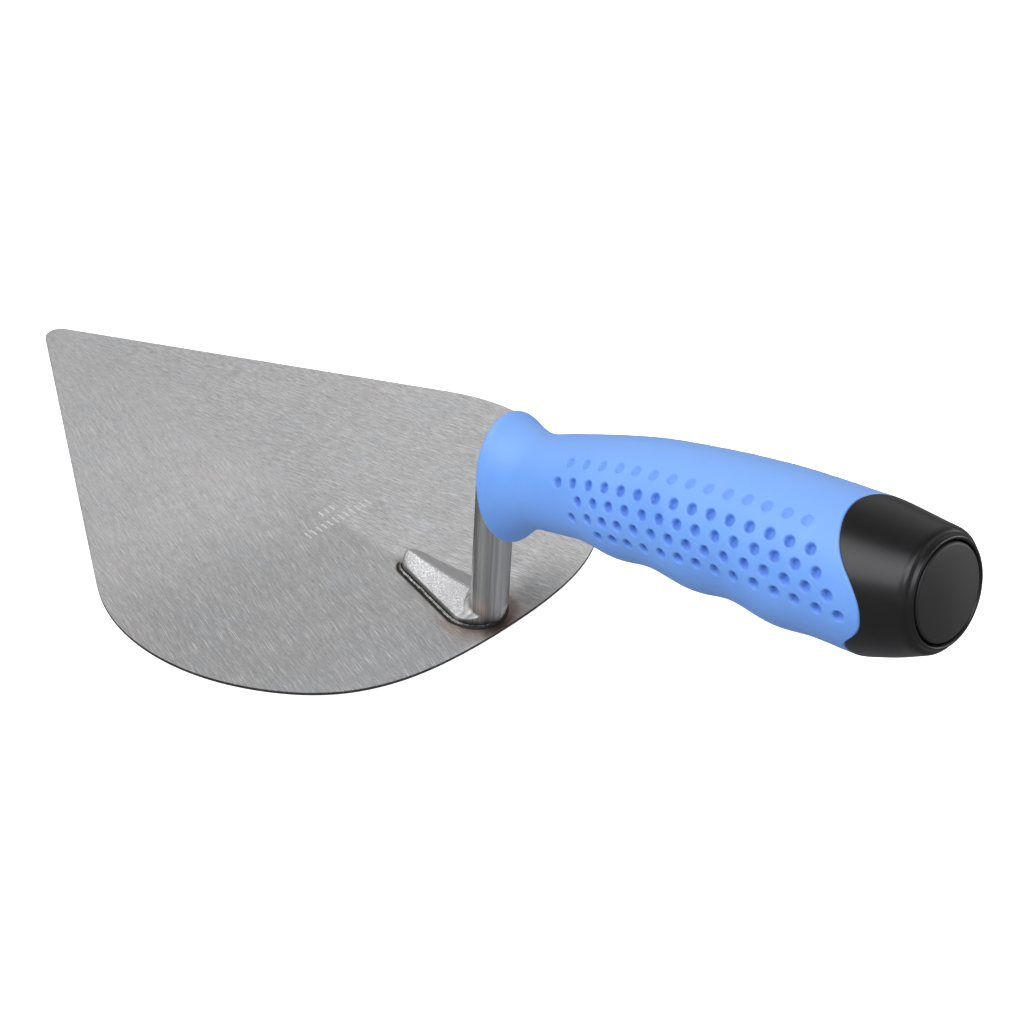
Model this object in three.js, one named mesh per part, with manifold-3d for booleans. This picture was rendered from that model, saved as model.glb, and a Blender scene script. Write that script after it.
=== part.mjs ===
// Brick trowel: 240 x 180 mm blade, cranked shank welded to it by a teardrop foot, and a
// two-component plastic handle held on the shank's tang by a nut.
// Millimetres, +Z up. +X runs along the blade's centreline from the point towards the
// handle's end, +Y across it. The origin is the middle of the blade's length, on the
// centreline of its underside, so the underside lies in z = 0.
// Handle parts have their own frame: origin at the end disc, local +X along the handle
// axis out of the end. A station is the distance from the end disc forwards, so a
// station s lies at local x = -s. Front means towards the blade.
import * as THREE from 'three';
import { mergeVertices } from 'three/addons/utils/BufferGeometryUtils.js';
import Module from 'manifold-3d';

const wasm = await Module();
wasm.setup();

const { degToRad } = THREE.MathUtils;

// ---------------------------------------------------------------- finishes
const FINISH = {
  blade: { color: 0xa9aaab, roughness: 0.42, metalness: 1.0 },
  shank: { color: 0xb4b5b6, roughness: 0.38, metalness: 1.0 },
  weld: { color: 0x3a3634, roughness: 0.5, metalness: 0.8 },
  hardPlastic: { color: 0x2b2b2d, roughness: 0.45, metalness: 0.0 },
  softPlastic: { color: 0x6f9fe8, roughness: 0.6, metalness: 0.0 },
  plugPlastic: { color: 0x303032, roughness: 0.5, metalness: 0.0 },
  fastener: { color: 0xb8bcc0, roughness: 0.35, metalness: 1.0 },
};

// ---------------------------------------------------------------- helpers
// value of one column of a table at x; column 0 holds x, and the ends are held
function interpolate(table, x, column) {
  const next = table.findIndex(row => x <= row[0]);
  if (next === 0) return table[0][column];
  if (next < 0) return table[table.length - 1][column];
  const a = table[next - 1];
  const b = table[next];
  return a[column] + (b[column] - a[column]) * (x - a[0]) / (b[0] - a[0]);
}

// closed geometry -> solid, faces turned outwards
function solid(geometry) {
  geometry.deleteAttribute('normal');
  geometry.deleteAttribute('uv');
  const merged = mergeVertices(geometry, 1e-4);
  const positions = Float32Array.from(merged.attributes.position.array);
  const index = merged.index.array;
  const vertex = i => new THREE.Vector3().fromArray(positions, 3 * i);
  const triangles = [];
  let volume = 0;
  for (let i = 0; i < index.length; i += 3) {
    const [a, b, c] = index.slice(i, i + 3);
    if (a === b || b === c || a === c) continue;
    triangles.push(a, b, c);
    volume += vertex(a).dot(vertex(b).cross(vertex(c))) / 6;
  }
  if (volume < 0) {
    for (let i = 0; i < triangles.length; i += 3) {
      [triangles[i + 1], triangles[i + 2]] = [triangles[i + 2], triangles[i + 1]];
    }
  }
  return new wasm.Manifold(new wasm.Mesh({
    numProp: 3,
    vertProperties: positions,
    triVerts: Uint32Array.from(triangles),
  }));
}

function toMesh(name, body, finish) {
  const { vertProperties, triVerts } = body.getMesh();
  const geometry = new THREE.BufferGeometry();
  geometry.setAttribute('position',
    new THREE.BufferAttribute(Float32Array.from(vertProperties), 3));
  geometry.setIndex(new THREE.BufferAttribute(Uint32Array.from(triVerts), 1));
  geometry.computeVertexNormals();
  const mesh = new THREE.Mesh(geometry, new THREE.MeshStandardMaterial(finish));
  mesh.name = name;
  return mesh;
}

function extrude(shape, depth, options = {}) {
  return new THREE.ExtrudeGeometry(shape, { depth, bevelEnabled: false, ...options });
}

// points of an arc in plan, its centre on the centreline
function arcPoints(centreX, radius, from, to, steps) {
  return Array.from({ length: steps + 1 }, (_, i) => {
    const angle = from + (to - from) * i / steps;
    return new THREE.Vector2(centreX + radius * Math.cos(angle), radius * Math.sin(angle));
  });
}

// surface of revolution about the handle axis; profile is [station, radius]
function latheOnHandle(profile, segments) {
  const points = profile.map(([station, radius]) => new THREE.Vector2(radius, -station));
  return new THREE.LatheGeometry(points, segments).rotateZ(-Math.PI / 2);
}

const turned = (profile, segments) => solid(latheOnHandle(profile, segments));

function moveVertices(geometry, move) {
  const position = geometry.attributes.position;
  for (let i = 0; i < position.count; i++) {
    position.setXYZ(i, ...move(position.getX(i), position.getY(i), position.getZ(i)));
  }
  return geometry;
}

// ---------------------------------------------------------------- blade
const BLADE_L = 240;           // point to heel
const BLADE_T = 1.2;           // plate thickness
const TIP_R = 5.39;            // blunt point
const TIP_HALF_ANGLE = 30.593; // degrees, each straight side to the centreline
const TANGENT_LEAD = 9;        // first spline point lies this far ahead, on the straight side
// rounded shoulder and heel: [distance from the point, half width]
const SHOULDER = [
  [131.2, 80.64], [139.37, 84.80], [148.21, 87.85], [157.53, 89.60], [167.12, 89.99],
  [176.79, 89.04], [186.34, 86.81], [195.61, 83.33], [204.43, 78.71], [212.74, 73.08],
  [220.33, 66.45], [226.81, 58.73], [231.83, 49.98], [235.42, 40.62], [237.71, 30.98],
  [239.03, 21.32], [239.73, 11.79], [239.99, 2.35], [BLADE_L, 0],
];

function bladeOutline() {
  const pointX = -BLADE_L / 2;
  const sideAngle = degToRad(TIP_HALF_ANGLE);
  const tip = arcPoints(pointX + TIP_R, TIP_R, Math.PI, Math.PI / 2 + sideAngle, 8);
  const [startX, startY] = SHOULDER[0];
  const lead = [startX - TANGENT_LEAD, startY - TANGENT_LEAD * Math.tan(sideAngle)];
  const curve = new THREE.SplineCurve(
    [lead, ...SHOULDER].map(([x, y]) => new THREE.Vector2(pointX + x, y)));
  // two steps per span; the lead-in span is dropped
  const half = [...tip, ...curve.getPoints(2 * SHOULDER.length).slice(2)];
  const mirrored = half.slice(1, -1).reverse().map(({ x, y }) => new THREE.Vector2(x, -y));
  return new THREE.Shape([...half, ...mirrored].reverse());
}

function makeBlade() {
  return toMesh('blade', solid(extrude(bladeOutline(), BLADE_T)), FINISH.blade);
}

// ---------------------------------------------------------------- foot and column root
const FOOT_NOSE_X = 77.0;      // centre of the foot's small round end
const FOOT_NOSE_R = 3.4;
const FOOT_HEEL_X = 106.9;     // centre of the foot's large round end
const FOOT_HEEL_R = 9.2;
const FOOT_LENGTH = FOOT_HEEL_X - FOOT_NOSE_X;
const RIDGE_NOSE_Z = 7.3;      // ridge height over the underside at the nose
const RIDGE_HEEL_Z = 8.1;      // and at the large end
const ROOF_FALL = 0.50;        // fall of each roof side per mm across
const ROOF_HALF_W = 30;        // the roof solid overhangs the foot all round
const ROOF_LENGTH = 80;
const ROOF_LEAD = 20;          // overhang ahead of the nose centre

const COLUMN_R = 6.2;          // round shank
const COLUMN_X = 112.7;        // column axis on the blade
// [radius, height over the plate]
const FLARE_PROFILE = [[0, 0], [9.4, 0], [9.2, 5.2], [8.2, 6.6], [7.3, 8.4], [6.7, 10.2],
  [6.35, 12.2], [6.0, 14.0], [0, 14.0]];
const ROOT_PROFILE = [[0, 0], [3.8, 0], [4.65, 1.6], [5.55, 4.0], [6.05, 6.6], [COLUMN_R, 9.2],
  [COLUMN_R - 0.3, 11], [0, 11]];

// plan of the foot, grown outwards all round
function teardrop(grow, heelSteps = 18) {
  const end = Math.PI - Math.acos((FOOT_HEEL_R - FOOT_NOSE_R) / FOOT_LENGTH);
  return new THREE.Shape([
    ...arcPoints(FOOT_HEEL_X, FOOT_HEEL_R + grow, -end, end, heelSteps),
    ...arcPoints(FOOT_NOSE_X, FOOT_NOSE_R + grow, end, 2 * Math.PI - end, heelSteps / 2),
  ]);
}

// solid under two roof planes that meet in the rising ridge
function makeRoof() {
  const eaves = -ROOF_HALF_W * ROOF_FALL;
  const gable = new THREE.Shape([[-ROOF_HALF_W, -30], [ROOF_HALF_W, -30],
    [ROOF_HALF_W, eaves], [0, 0], [-ROOF_HALF_W, eaves]].map(([x, y]) => new THREE.Vector2(x, y)));
  const ridgeSlope = (RIDGE_HEEL_Z - RIDGE_NOSE_Z) / FOOT_LENGTH;
  return solid(extrude(gable, ROOF_LENGTH)
    .rotateX(Math.PI / 2)
    .rotateZ(Math.PI / 2)      // shape's y -> z, depth -> x
    .rotateY(-Math.atan(ridgeSlope))
    .translate(FOOT_NOSE_X - ROOF_LEAD, 0, RIDGE_NOSE_Z - ROOF_LEAD * ridgeSlope));
}

// upright solid of revolution standing on the plate at the column
function turnedOnPlate(profile) {
  const points = profile.map(([radius, height]) => new THREE.Vector2(radius, height));
  return solid(new THREE.LatheGeometry(points, 32)
    .rotateX(Math.PI / 2)
    .translate(COLUMN_X, 0, BLADE_T));
}

// roofed foot, the swelling where the column grows out of it, and the column's rounded end
function makeFoot() {
  const prism = solid(extrude(teardrop(0), 30).translate(0, 0, BLADE_T));
  const foot = prism.intersect(makeRoof());
  const flare = turnedOnPlate(FLARE_PROFILE).intersect(prism);
  return foot.add(flare).add(turnedOnPlate(ROOT_PROFILE));
}

// ---------------------------------------------------------------- shank axis
const COLUMN_LEAN = 1.7;       // degrees from upright, towards the handle's end
const ELBOW_R = 14;            // centreline radius of the crank
const HANDLE_TILT = 15.346;    // degrees, handle axis above the blade
const BUTT_X = 278.95;         // centre of the handle's end disc
const BUTT_Z = 109.49;

const lean = degToRad(COLUMN_LEAN);
const tilt = degToRad(HANDLE_TILT);
const columnDir = new THREE.Vector3(Math.sin(lean), 0, Math.cos(lean));
const handleDir = new THREE.Vector3(Math.cos(tilt), 0, Math.sin(tilt));
const columnBase = new THREE.Vector3(COLUMN_X, 0, BLADE_T);
const onColumn = distance => columnBase.clone().addScaledVector(columnDir, distance);

// the column axis meets the handle axis in the corner
const cornerDistance = (BUTT_Z - BLADE_T + (COLUMN_X - BUTT_X) * Math.tan(tilt))
  / (columnDir.z - columnDir.x * Math.tan(tilt));
const corner = onColumn(cornerDistance);
const elbowAngle = columnDir.angleTo(handleDir);
const elbowLeg = ELBOW_R * Math.tan(elbowAngle / 2);   // corner to each end of the bend
const elbowStation = (BUTT_X - corner.x) / Math.cos(tilt) - elbowLeg;  // bend's handle end

// column, bend, then straight into the handle
class ShankAxis extends THREE.Curve {
  constructor(from, inside) {
    super();
    this.columnLength = cornerDistance - elbowLeg - from;
    this.bendLength = ELBOW_R * elbowAngle;
    this.totalLength = this.columnLength + this.bendLength + inside;
    this.start = onColumn(from);
    this.bendStart = onColumn(cornerDistance - elbowLeg);
    // towards the bend's centre
    this.inward = handleDir.clone()
      .addScaledVector(columnDir, -handleDir.dot(columnDir))
      .normalize();
  }

  getPoint(t, target = new THREE.Vector3()) {
    const distance = t * this.totalLength;
    if (distance <= this.columnLength) {
      return target.copy(this.start).addScaledVector(columnDir, distance);
    }
    const pastColumn = distance - this.columnLength;
    if (pastColumn <= this.bendLength) {
      const angle = pastColumn / ELBOW_R;
      return target.copy(this.bendStart)
        .addScaledVector(columnDir, ELBOW_R * Math.sin(angle))
        .addScaledVector(this.inward, ELBOW_R * (1 - Math.cos(angle)));
    }
    return target.copy(corner)
      .addScaledVector(handleDir, elbowLeg + pastColumn - this.bendLength);
  }
}

// round bar along the shank axis, from a distance up the column to one past the bend
function crankedRod(radius, from, inside) {
  const circle = new THREE.Shape();
  circle.absarc(0, 0, radius, 0, 2 * Math.PI, false);
  return new THREE.ExtrudeGeometry(circle, {
    steps: 34,
    extrudePath: new ShankAxis(from, inside),
    curveSegments: 14,
    bevelEnabled: false,
  });
}

const handleToWorld = new THREE.Matrix4().makeRotationY(-tilt).setPosition(BUTT_X, 0, BUTT_Z);

// ---------------------------------------------------------------- shank
const TANG_R_FRONT = 6.0;      // tang at the elbow
const TANG_R_REAR = 4.3;       // tang where the thread starts
const THREAD_R = 4.0;          // M8
const THREAD_FROM = 44;        // stations
const TANG_END = 12;
const TANG_CHAMFER = 0.8;

function makeShank() {
  const tang = latheOnHandle([
    [elbowStation - 1, 0],
    [elbowStation - 1, TANG_R_FRONT],
    [THREAD_FROM, TANG_R_REAR],
    [THREAD_FROM - 0.6, THREAD_R],
    [TANG_END + TANG_CHAMFER, THREAD_R],
    [TANG_END, THREAD_R - TANG_CHAMFER],
    [TANG_END, 0],
  ], 24).applyMatrix4(handleToWorld);
  const body = makeFoot().add(solid(crankedRod(COLUMN_R, 9, 6))).add(solid(tang));
  return toMesh('shank', body, FINISH.shank);
}

// ---------------------------------------------------------------- weld round the foot
const WELD_W = 2.3;
const WELD_H = 1.0;
const WELD_INSET = 0.3;        // the bevel starts this far out from the foot
const WELD_HALF_CORE = 0.1;    // half the unbevelled depth, centred on the plate's face

function makeWeld() {
  const bead = extrude(teardrop(WELD_INSET, 24), 2 * WELD_HALF_CORE, {
    bevelEnabled: true,
    bevelThickness: WELD_H - WELD_HALF_CORE,
    bevelSize: WELD_W - WELD_INSET,
    bevelSegments: 3,
  }).translate(0, 0, BLADE_T - WELD_HALF_CORE);
  const abovePlate = new THREE.BoxGeometry(120, 60, 10).translate(90, 0, BLADE_T + 5);
  const footRoom = extrude(teardrop(0.02), 8).translate(0, 0, BLADE_T - 1);
  const rootHeight = 4.5;
  const rootRoom = new THREE.CylinderGeometry(6.1, 4.15, rootHeight, 32)
    .rotateX(Math.PI / 2)
    .translate(COLUMN_X, 0, BLADE_T + rootHeight / 2);
  const body = solid(bead)
    .intersect(solid(abovePlate))
    .subtract(solid(footRoom))
    .subtract(solid(rootRoom));
  return toMesh('weld_bead', body, FINISH.weld);
}

// ---------------------------------------------------------------- handle: form
// handle sections: [station, half height, centre height over the handle axis,
// width over height, lean of the section plane]
const SECTIONS = [
  [0.3, 14.5, -0.12, 1, 0], [0.05, 14.8, -0.12, 1, 0], [0.05, 15.15, -0.12, 1, 0],
  [0.4, 15.52, -0.12, 1, 0], [1, 15.78, -0.12, 1, 0], [1.45, 16.02, -0.13, 1, 0],
  [1.95, 16.5, -0.13, 1, 0], [3, 17.54, -0.15, 1, 0], [5, 18.08, -0.33, 1, 0],
  [8, 18.83, -0.65, 1, 0], [11, 19.55, -0.88, 1, 0], [14, 20.19, -1.05, 1, 0],
  [17, 20.77, -1.14, 1, 0], [20, 21.3, -1.18, 1, 0], [23, 21.68, -1.12, 1, 0],
  [26, 21.74, -0.8, 1, 0], [29, 21.65, -0.62, 1, 0], [32, 21.62, -0.4, 1, 0],
  [38, 21.66, 0, 1, 0], [44, 21.94, 0.05, 1, 0], [47, 22.06, 0.1, 1, 0],
  [50, 22.04, 0.26, 1, 0], [53, 21.88, 0.6, 1, 0], [56, 21.6, 1.02, 1, 0],
  [59, 21.26, 1.47, 1, 0], [62, 20.95, 1.83, 1, 0], [65, 20.72, 2.07, 1, 0],
  [68, 20.6, 2.16, 1, 0], [71, 20.62, 2.09, 1, 0], [74, 20.73, 1.88, 1, 0],
  [77, 20.81, 1.64, 1, 0], [80, 20.77, 1.56, 1, 0], [83, 20.57, 1.63, 1, 0],
  [86, 20.22, 1.85, 1, 0], [89, 19.87, 2.11, 1, 0], [92, 19.49, 2.36, 1, 0],
  [95, 19.16, 2.51, 1, 0], [98, 18.92, 2.55, 1, 0], [101, 18.81, 2.42, 0.999, 0],
  [104, 18.8, 2.12, 0.996, 0], [107, 18.8, 1.76, 0.992, 0], [110, 18.7, 1.45, 0.989, 0],
  [113, 18.46, 1.27, 0.986, 0], [116, 18.05, 1.23, 0.983, 0], [119, 17.52, 1.31, 0.98, 0],
  [122, 17, 1.36, 0.976, 0], [125.8, 16.53, 1.16, 0.972, 0], [128.3, 16.26, 1.01, 0.972, 0],
  [130.9, 16.05, 0.71, 0.971, 0], [133.5, 15.87, 0.37, 0.97, 0.001],
  [136.1, 15.72, 0.05, 0.966, 0.002], [138.7, 15.59, -0.31, 0.96, 0.003],
  [141.3, 15.45, -0.68, 0.952, 0.006], [143.8, 15.24, -1.07, 0.941, 0.009],
  [146.4, 15.1, -1.45, 0.926, 0.013], [149, 15.14, -1.8, 0.908, 0.018],
  [151.6, 15.48, -2.13, 0.884, 0.025], [154.2, 16.29, -2.44, 0.856, 0.033],
  [156.8, 17.5, -2.78, 0.822, 0.042], [159.4, 19.15, -3.2, 0.783, 0.053],
  [161, 20.45, -3.4, 0.755, 0.062], [162.1, 21.4, -3.46, 0.733, 0.067],
  [162.9, 21.88, -3.48, 0.717, 0.072], [163.7, 21.86, -3.49, 0.711, 0.073],
  [164.4, 21.4, -3.49, 0.711, 0.073], [164.8, 20.75, -3.5, 0.711, 0.073],
  [164.95, 19.97, -3.5, 0.711, 0.073],
];
// the guard's dished front face, inwards from the lip: [station, radius]
const FRONT_FACE = [[164.6, 18.2], [163.4, 15.6], [162.6, 12.0], [162.2, 8.0], [162.2, 0]];
// the core's sleeve under the soft grip: [station, radius]
const SLEEVE = [
  [10, 15.6], [16, 17.2], [24, 18.5], [36, 18.6], [50, 18.9], [60, 18.0], [70, 17.4], [80, 17.5],
  [92, 16.4], [104, 15.6], [114, 15.0], [126, 13.3], [140, 12.2], [150, 11.7], [157, 11.2],
];
// line between the cap and the soft grip: [degrees above the side, station]
const CAP_LINE = [
  [-90, 22.2], [-60, 22.2], [-43, 22.2], [-36, 22.1], [-31, 21.5], [-25, 19.6], [-19, 16.9],
  [-12, 14.9], [-3, 13.95], [7, 13.95], [17, 15.1], [27, 17.2], [37, 20.0], [46, 22.3],
  [54, 23.9], [67, 25.9], [78, 27.0], [90, 27.5],
];
const CAP_INNER_STATION = 18;  // flat inner part of the cap's front
const CAP_INNER_R = 11;
const SKIN_GAP = 0.3;          // between the core and the soft grip

// solid of revolution moved to the real sections: offset, narrowing, lean
function turnedToSections(profile, segments) {
  return solid(moveVertices(latheOnHandle(profile, segments), (x, y, z) => [
    x + z * interpolate(SECTIONS, -x, 4),
    y * interpolate(SECTIONS, -x, 3),
    z + interpolate(SECTIONS, -x, 2),
  ]));
}

// everything behind the cap line, which is moved forwards by shift
function behindCapLine(shift) {
  const profile = [[-12, 0], [-12, 34], [1, 34], [1, 13], [1, 9], [1, 0]];
  return solid(moveVertices(latheOnHandle(profile, 72), (x, y, z) => {
    if (x >= 0) return [x, y, z];
    const angle = THREE.MathUtils.radToDeg(Math.atan2(z, Math.abs(y)));
    const station = Math.hypot(y, z) > CAP_INNER_R
      ? interpolate(CAP_LINE, angle, 1)
      : CAP_INNER_STATION;
    return [-station - shift, y, z];
  }));
}

function makeSleeve(grow) {
  const rear = SLEEVE[0][0] - grow;
  const [lastStation, lastRadius] = SLEEVE[SLEEVE.length - 1];
  const front = lastStation + grow;
  return turnedToSections([
    [rear, 0],
    ...SLEEVE.map(([station, radius]) => [station, radius + grow]),
    [front, lastRadius + grow],
    [front, 0],
  ], 32);
}

// ---------------------------------------------------------------- handle: core and grip
const CLEAR = 0.25;            // gap round the tang
const PLUG_R = 13.95;          // end disc
const PLUG_T = 2.6;
const RECESS_R = 14.35;        // its seat in the cap
const ACCESS_R = 10.5;         // bore for the nut
const BORE_FLOOR = 24;         // station of the washer's seat

const wholeHandle = turnedToSections(
  [[0, 0], ...SECTIONS.map(([station, halfHeight]) => [station, halfHeight]), ...FRONT_FACE], 40);

// room for the tang and the elbow
const tangRoom = turned([
  [elbowStation + 0.5, 0],
  [elbowStation + 0.5, COLUMN_R + CLEAR],
  [elbowStation - 7, COLUMN_R + CLEAR],
  [THREAD_FROM, TANG_R_REAR + CLEAR + 0.05],
  [THREAD_FROM - 4, THREAD_R + CLEAR],
  [-2, THREAD_R + CLEAR],
  [-2, 0],
], 24);
const elbowRoom = solid(crankedRod(COLUMN_R + CLEAR + 0.1, 30, 7)
  .applyMatrix4(handleToWorld.clone().invert()));

// straight bore open to the rear, given by its two end stations
function bore(front, rear, radius, segments) {
  return turned([[front, 0], [front, radius], [rear, radius], [rear, 0]], segments);
}

function makeCore() {
  const body = wholeHandle.intersect(behindCapLine(-SKIN_GAP / 2))
    .add(makeSleeve(0))
    .subtract(tangRoom)
    .subtract(elbowRoom)
    .subtract(bore(PLUG_T + 0.3, -4, RECESS_R, 40))
    .subtract(bore(BORE_FLOOR, 1, ACCESS_R, 32));
  return toMesh('handle_core', body, FINISH.hardPlastic);
}

function makeGrip() {
  const body = wholeHandle.subtract(behindCapLine(SKIN_GAP / 2))
    .subtract(makeSleeve(SKIN_GAP))
    .subtract(tangRoom)
    .subtract(elbowRoom);
  return toMesh('soft_grip', body, FINISH.softPlastic);
}

// ---------------------------------------------------------------- handle: plug and fasteners
const SPIGOT_END = 7.5;        // station
const SPIGOT_R = ACCESS_R - 0.3;
const WASHER_R = 8.0;
const WASHER_T = 1.6;
const NUT_AF = 13;             // across flats
const NUT_T = 6.5;
const NUT_CHAMFER = 0.9;       // along the axis
const STACK_GAP = 0.1;         // between bore floor, washer and nut

const washerFront = BORE_FLOOR - STACK_GAP;
const washerRear = washerFront - WASHER_T;
const nutFront = washerRear - STACK_GAP;
const nutRear = nutFront - NUT_T;

// slightly domed end disc with a spigot that fills the mouth of the access bore
function makePlug() {
  const body = turned([
    [SPIGOT_END, 0], [SPIGOT_END, ACCESS_R - 1.0],
    [SPIGOT_END - 0.8, SPIGOT_R], [PLUG_T, SPIGOT_R],
    [PLUG_T, PLUG_R], [0.35, PLUG_R], [0.05, PLUG_R - 0.15], [-0.22, PLUG_R - 0.55],
    [-0.4, PLUG_R - 1.4], [-0.65, 9], [-0.8, 4.5], [-0.85, 0],
  ], 40);
  return toMesh('end_plug', body, FINISH.plugPlastic);
}

function makeWasher() {
  const holeR = THREAD_R + 0.3;
  const body = turned([[washerRear, holeR], [washerRear, WASHER_R], [washerFront, WASHER_R],
    [washerFront, holeR], [washerRear, holeR]], 32);
  return toMesh('tang_washer', body, FINISH.fastener);
}

function makeNut() {
  const cornerR = NUT_AF / 2 / Math.cos(Math.PI / 6);
  const hexagon = new THREE.Shape(arcPoints(0, cornerR, 0, 5 * Math.PI / 3, 5));
  const hole = new THREE.Path();
  hole.absarc(0, 0, THREAD_R + 0.2, 0, 2 * Math.PI, true);
  hexagon.holes.push(hole);
  const prism = extrude(hexagon, NUT_T, { curveSegments: 12 })
    .rotateY(-Math.PI / 2)
    .translate(-nutRear, 0, 0);
  // turned envelope that chamfers the corners at both faces
  const envelope = turned([
    [nutRear - 0.01, 0], [nutRear - 0.01, 6.4], [nutRear + NUT_CHAMFER, 7.6],
    [nutFront - NUT_CHAMFER, 7.6], [nutFront + 0.01, 6.4], [nutFront + 0.01, 0],
  ], 32);
  return toMesh('tang_nut', solid(prism).intersect(envelope), FINISH.fastener);
}

// ---------------------------------------------------------------- assembly
const handle = new THREE.Group();
handle.name = 'handle';
handle.position.set(BUTT_X, 0, BUTT_Z);
handle.rotation.y = -tilt;
handle.add(makeCore(), makeGrip(), makePlug(), makeWasher(), makeNut());

const trowel = new THREE.Group();
trowel.name = 'brick_trowel';
trowel.add(makeBlade(), makeShank(), makeWeld(), handle);

export default trowel;
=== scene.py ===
"""Brick trowel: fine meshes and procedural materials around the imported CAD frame.

The trowel lies flat with its handle raised. +X runs from the blade's point towards the handle's
end, +Y across, +Z up, origin under the middle of the blade. Shapes are worked out in millimetres
and stored in metres.

The handle has its own frame: a "station" is the distance from the end disc towards the blade
along the handle axis, and "phi" is the angle round that axis (0 is +Y, 90 degrees is up).
"""
import math

import bpy
import numpy as np
from mathutils import Matrix, Vector


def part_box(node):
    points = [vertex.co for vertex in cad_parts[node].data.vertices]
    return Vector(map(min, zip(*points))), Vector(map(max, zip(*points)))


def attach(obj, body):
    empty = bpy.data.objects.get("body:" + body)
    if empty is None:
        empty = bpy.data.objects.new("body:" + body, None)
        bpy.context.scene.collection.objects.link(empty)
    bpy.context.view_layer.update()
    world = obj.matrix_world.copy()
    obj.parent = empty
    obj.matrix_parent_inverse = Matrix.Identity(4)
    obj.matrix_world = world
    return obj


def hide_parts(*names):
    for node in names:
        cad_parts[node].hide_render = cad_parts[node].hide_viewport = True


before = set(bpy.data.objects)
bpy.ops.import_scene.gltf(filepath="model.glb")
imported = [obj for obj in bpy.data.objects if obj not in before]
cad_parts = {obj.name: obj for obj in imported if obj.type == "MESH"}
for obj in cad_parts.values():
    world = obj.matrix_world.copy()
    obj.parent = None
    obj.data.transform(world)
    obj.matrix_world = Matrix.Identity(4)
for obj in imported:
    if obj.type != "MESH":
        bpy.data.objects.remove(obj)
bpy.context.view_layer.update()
MM = 0.001
scene = bpy.context.scene


# ------------------------------------------------------------------ the frame's reference points, mm
def box_mm(name):
    low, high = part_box(name)
    return np.array(low) * 1000.0, np.array(high) * 1000.0


blade_low, blade_high = box_mm("blade")
BLADE_T = blade_high[2] - blade_low[2]
TIP_X, HALF_WIDTH = blade_low[0], blade_high[1]
washer_centre = sum(box_mm("tang_washer")) / 2
nut_centre = sum(box_mm("tang_nut")) / 2
AXIS = nut_centre - washer_centre              # handle axis, towards its end
AXIS[1] = 0.0
AXIS /= np.linalg.norm(AXIS)
HANDLE_UP = np.array([-AXIS[2], 0.0, AXIS[0]])
WASHER_STATION = 23.1                          # the washer's middle
BUTT = washer_centre + AXIS * WASHER_STATION   # station 0
BUTT[1] = 0.0


def to_world(points):
    """handle frame (mm) -> trowel frame (mm)"""
    across = np.array([0.0, 1.0, 0.0])
    return (BUTT + points[..., 0:1] * AXIS + points[..., 1:2] * across
            + points[..., 2:3] * HANDLE_UP)


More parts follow.
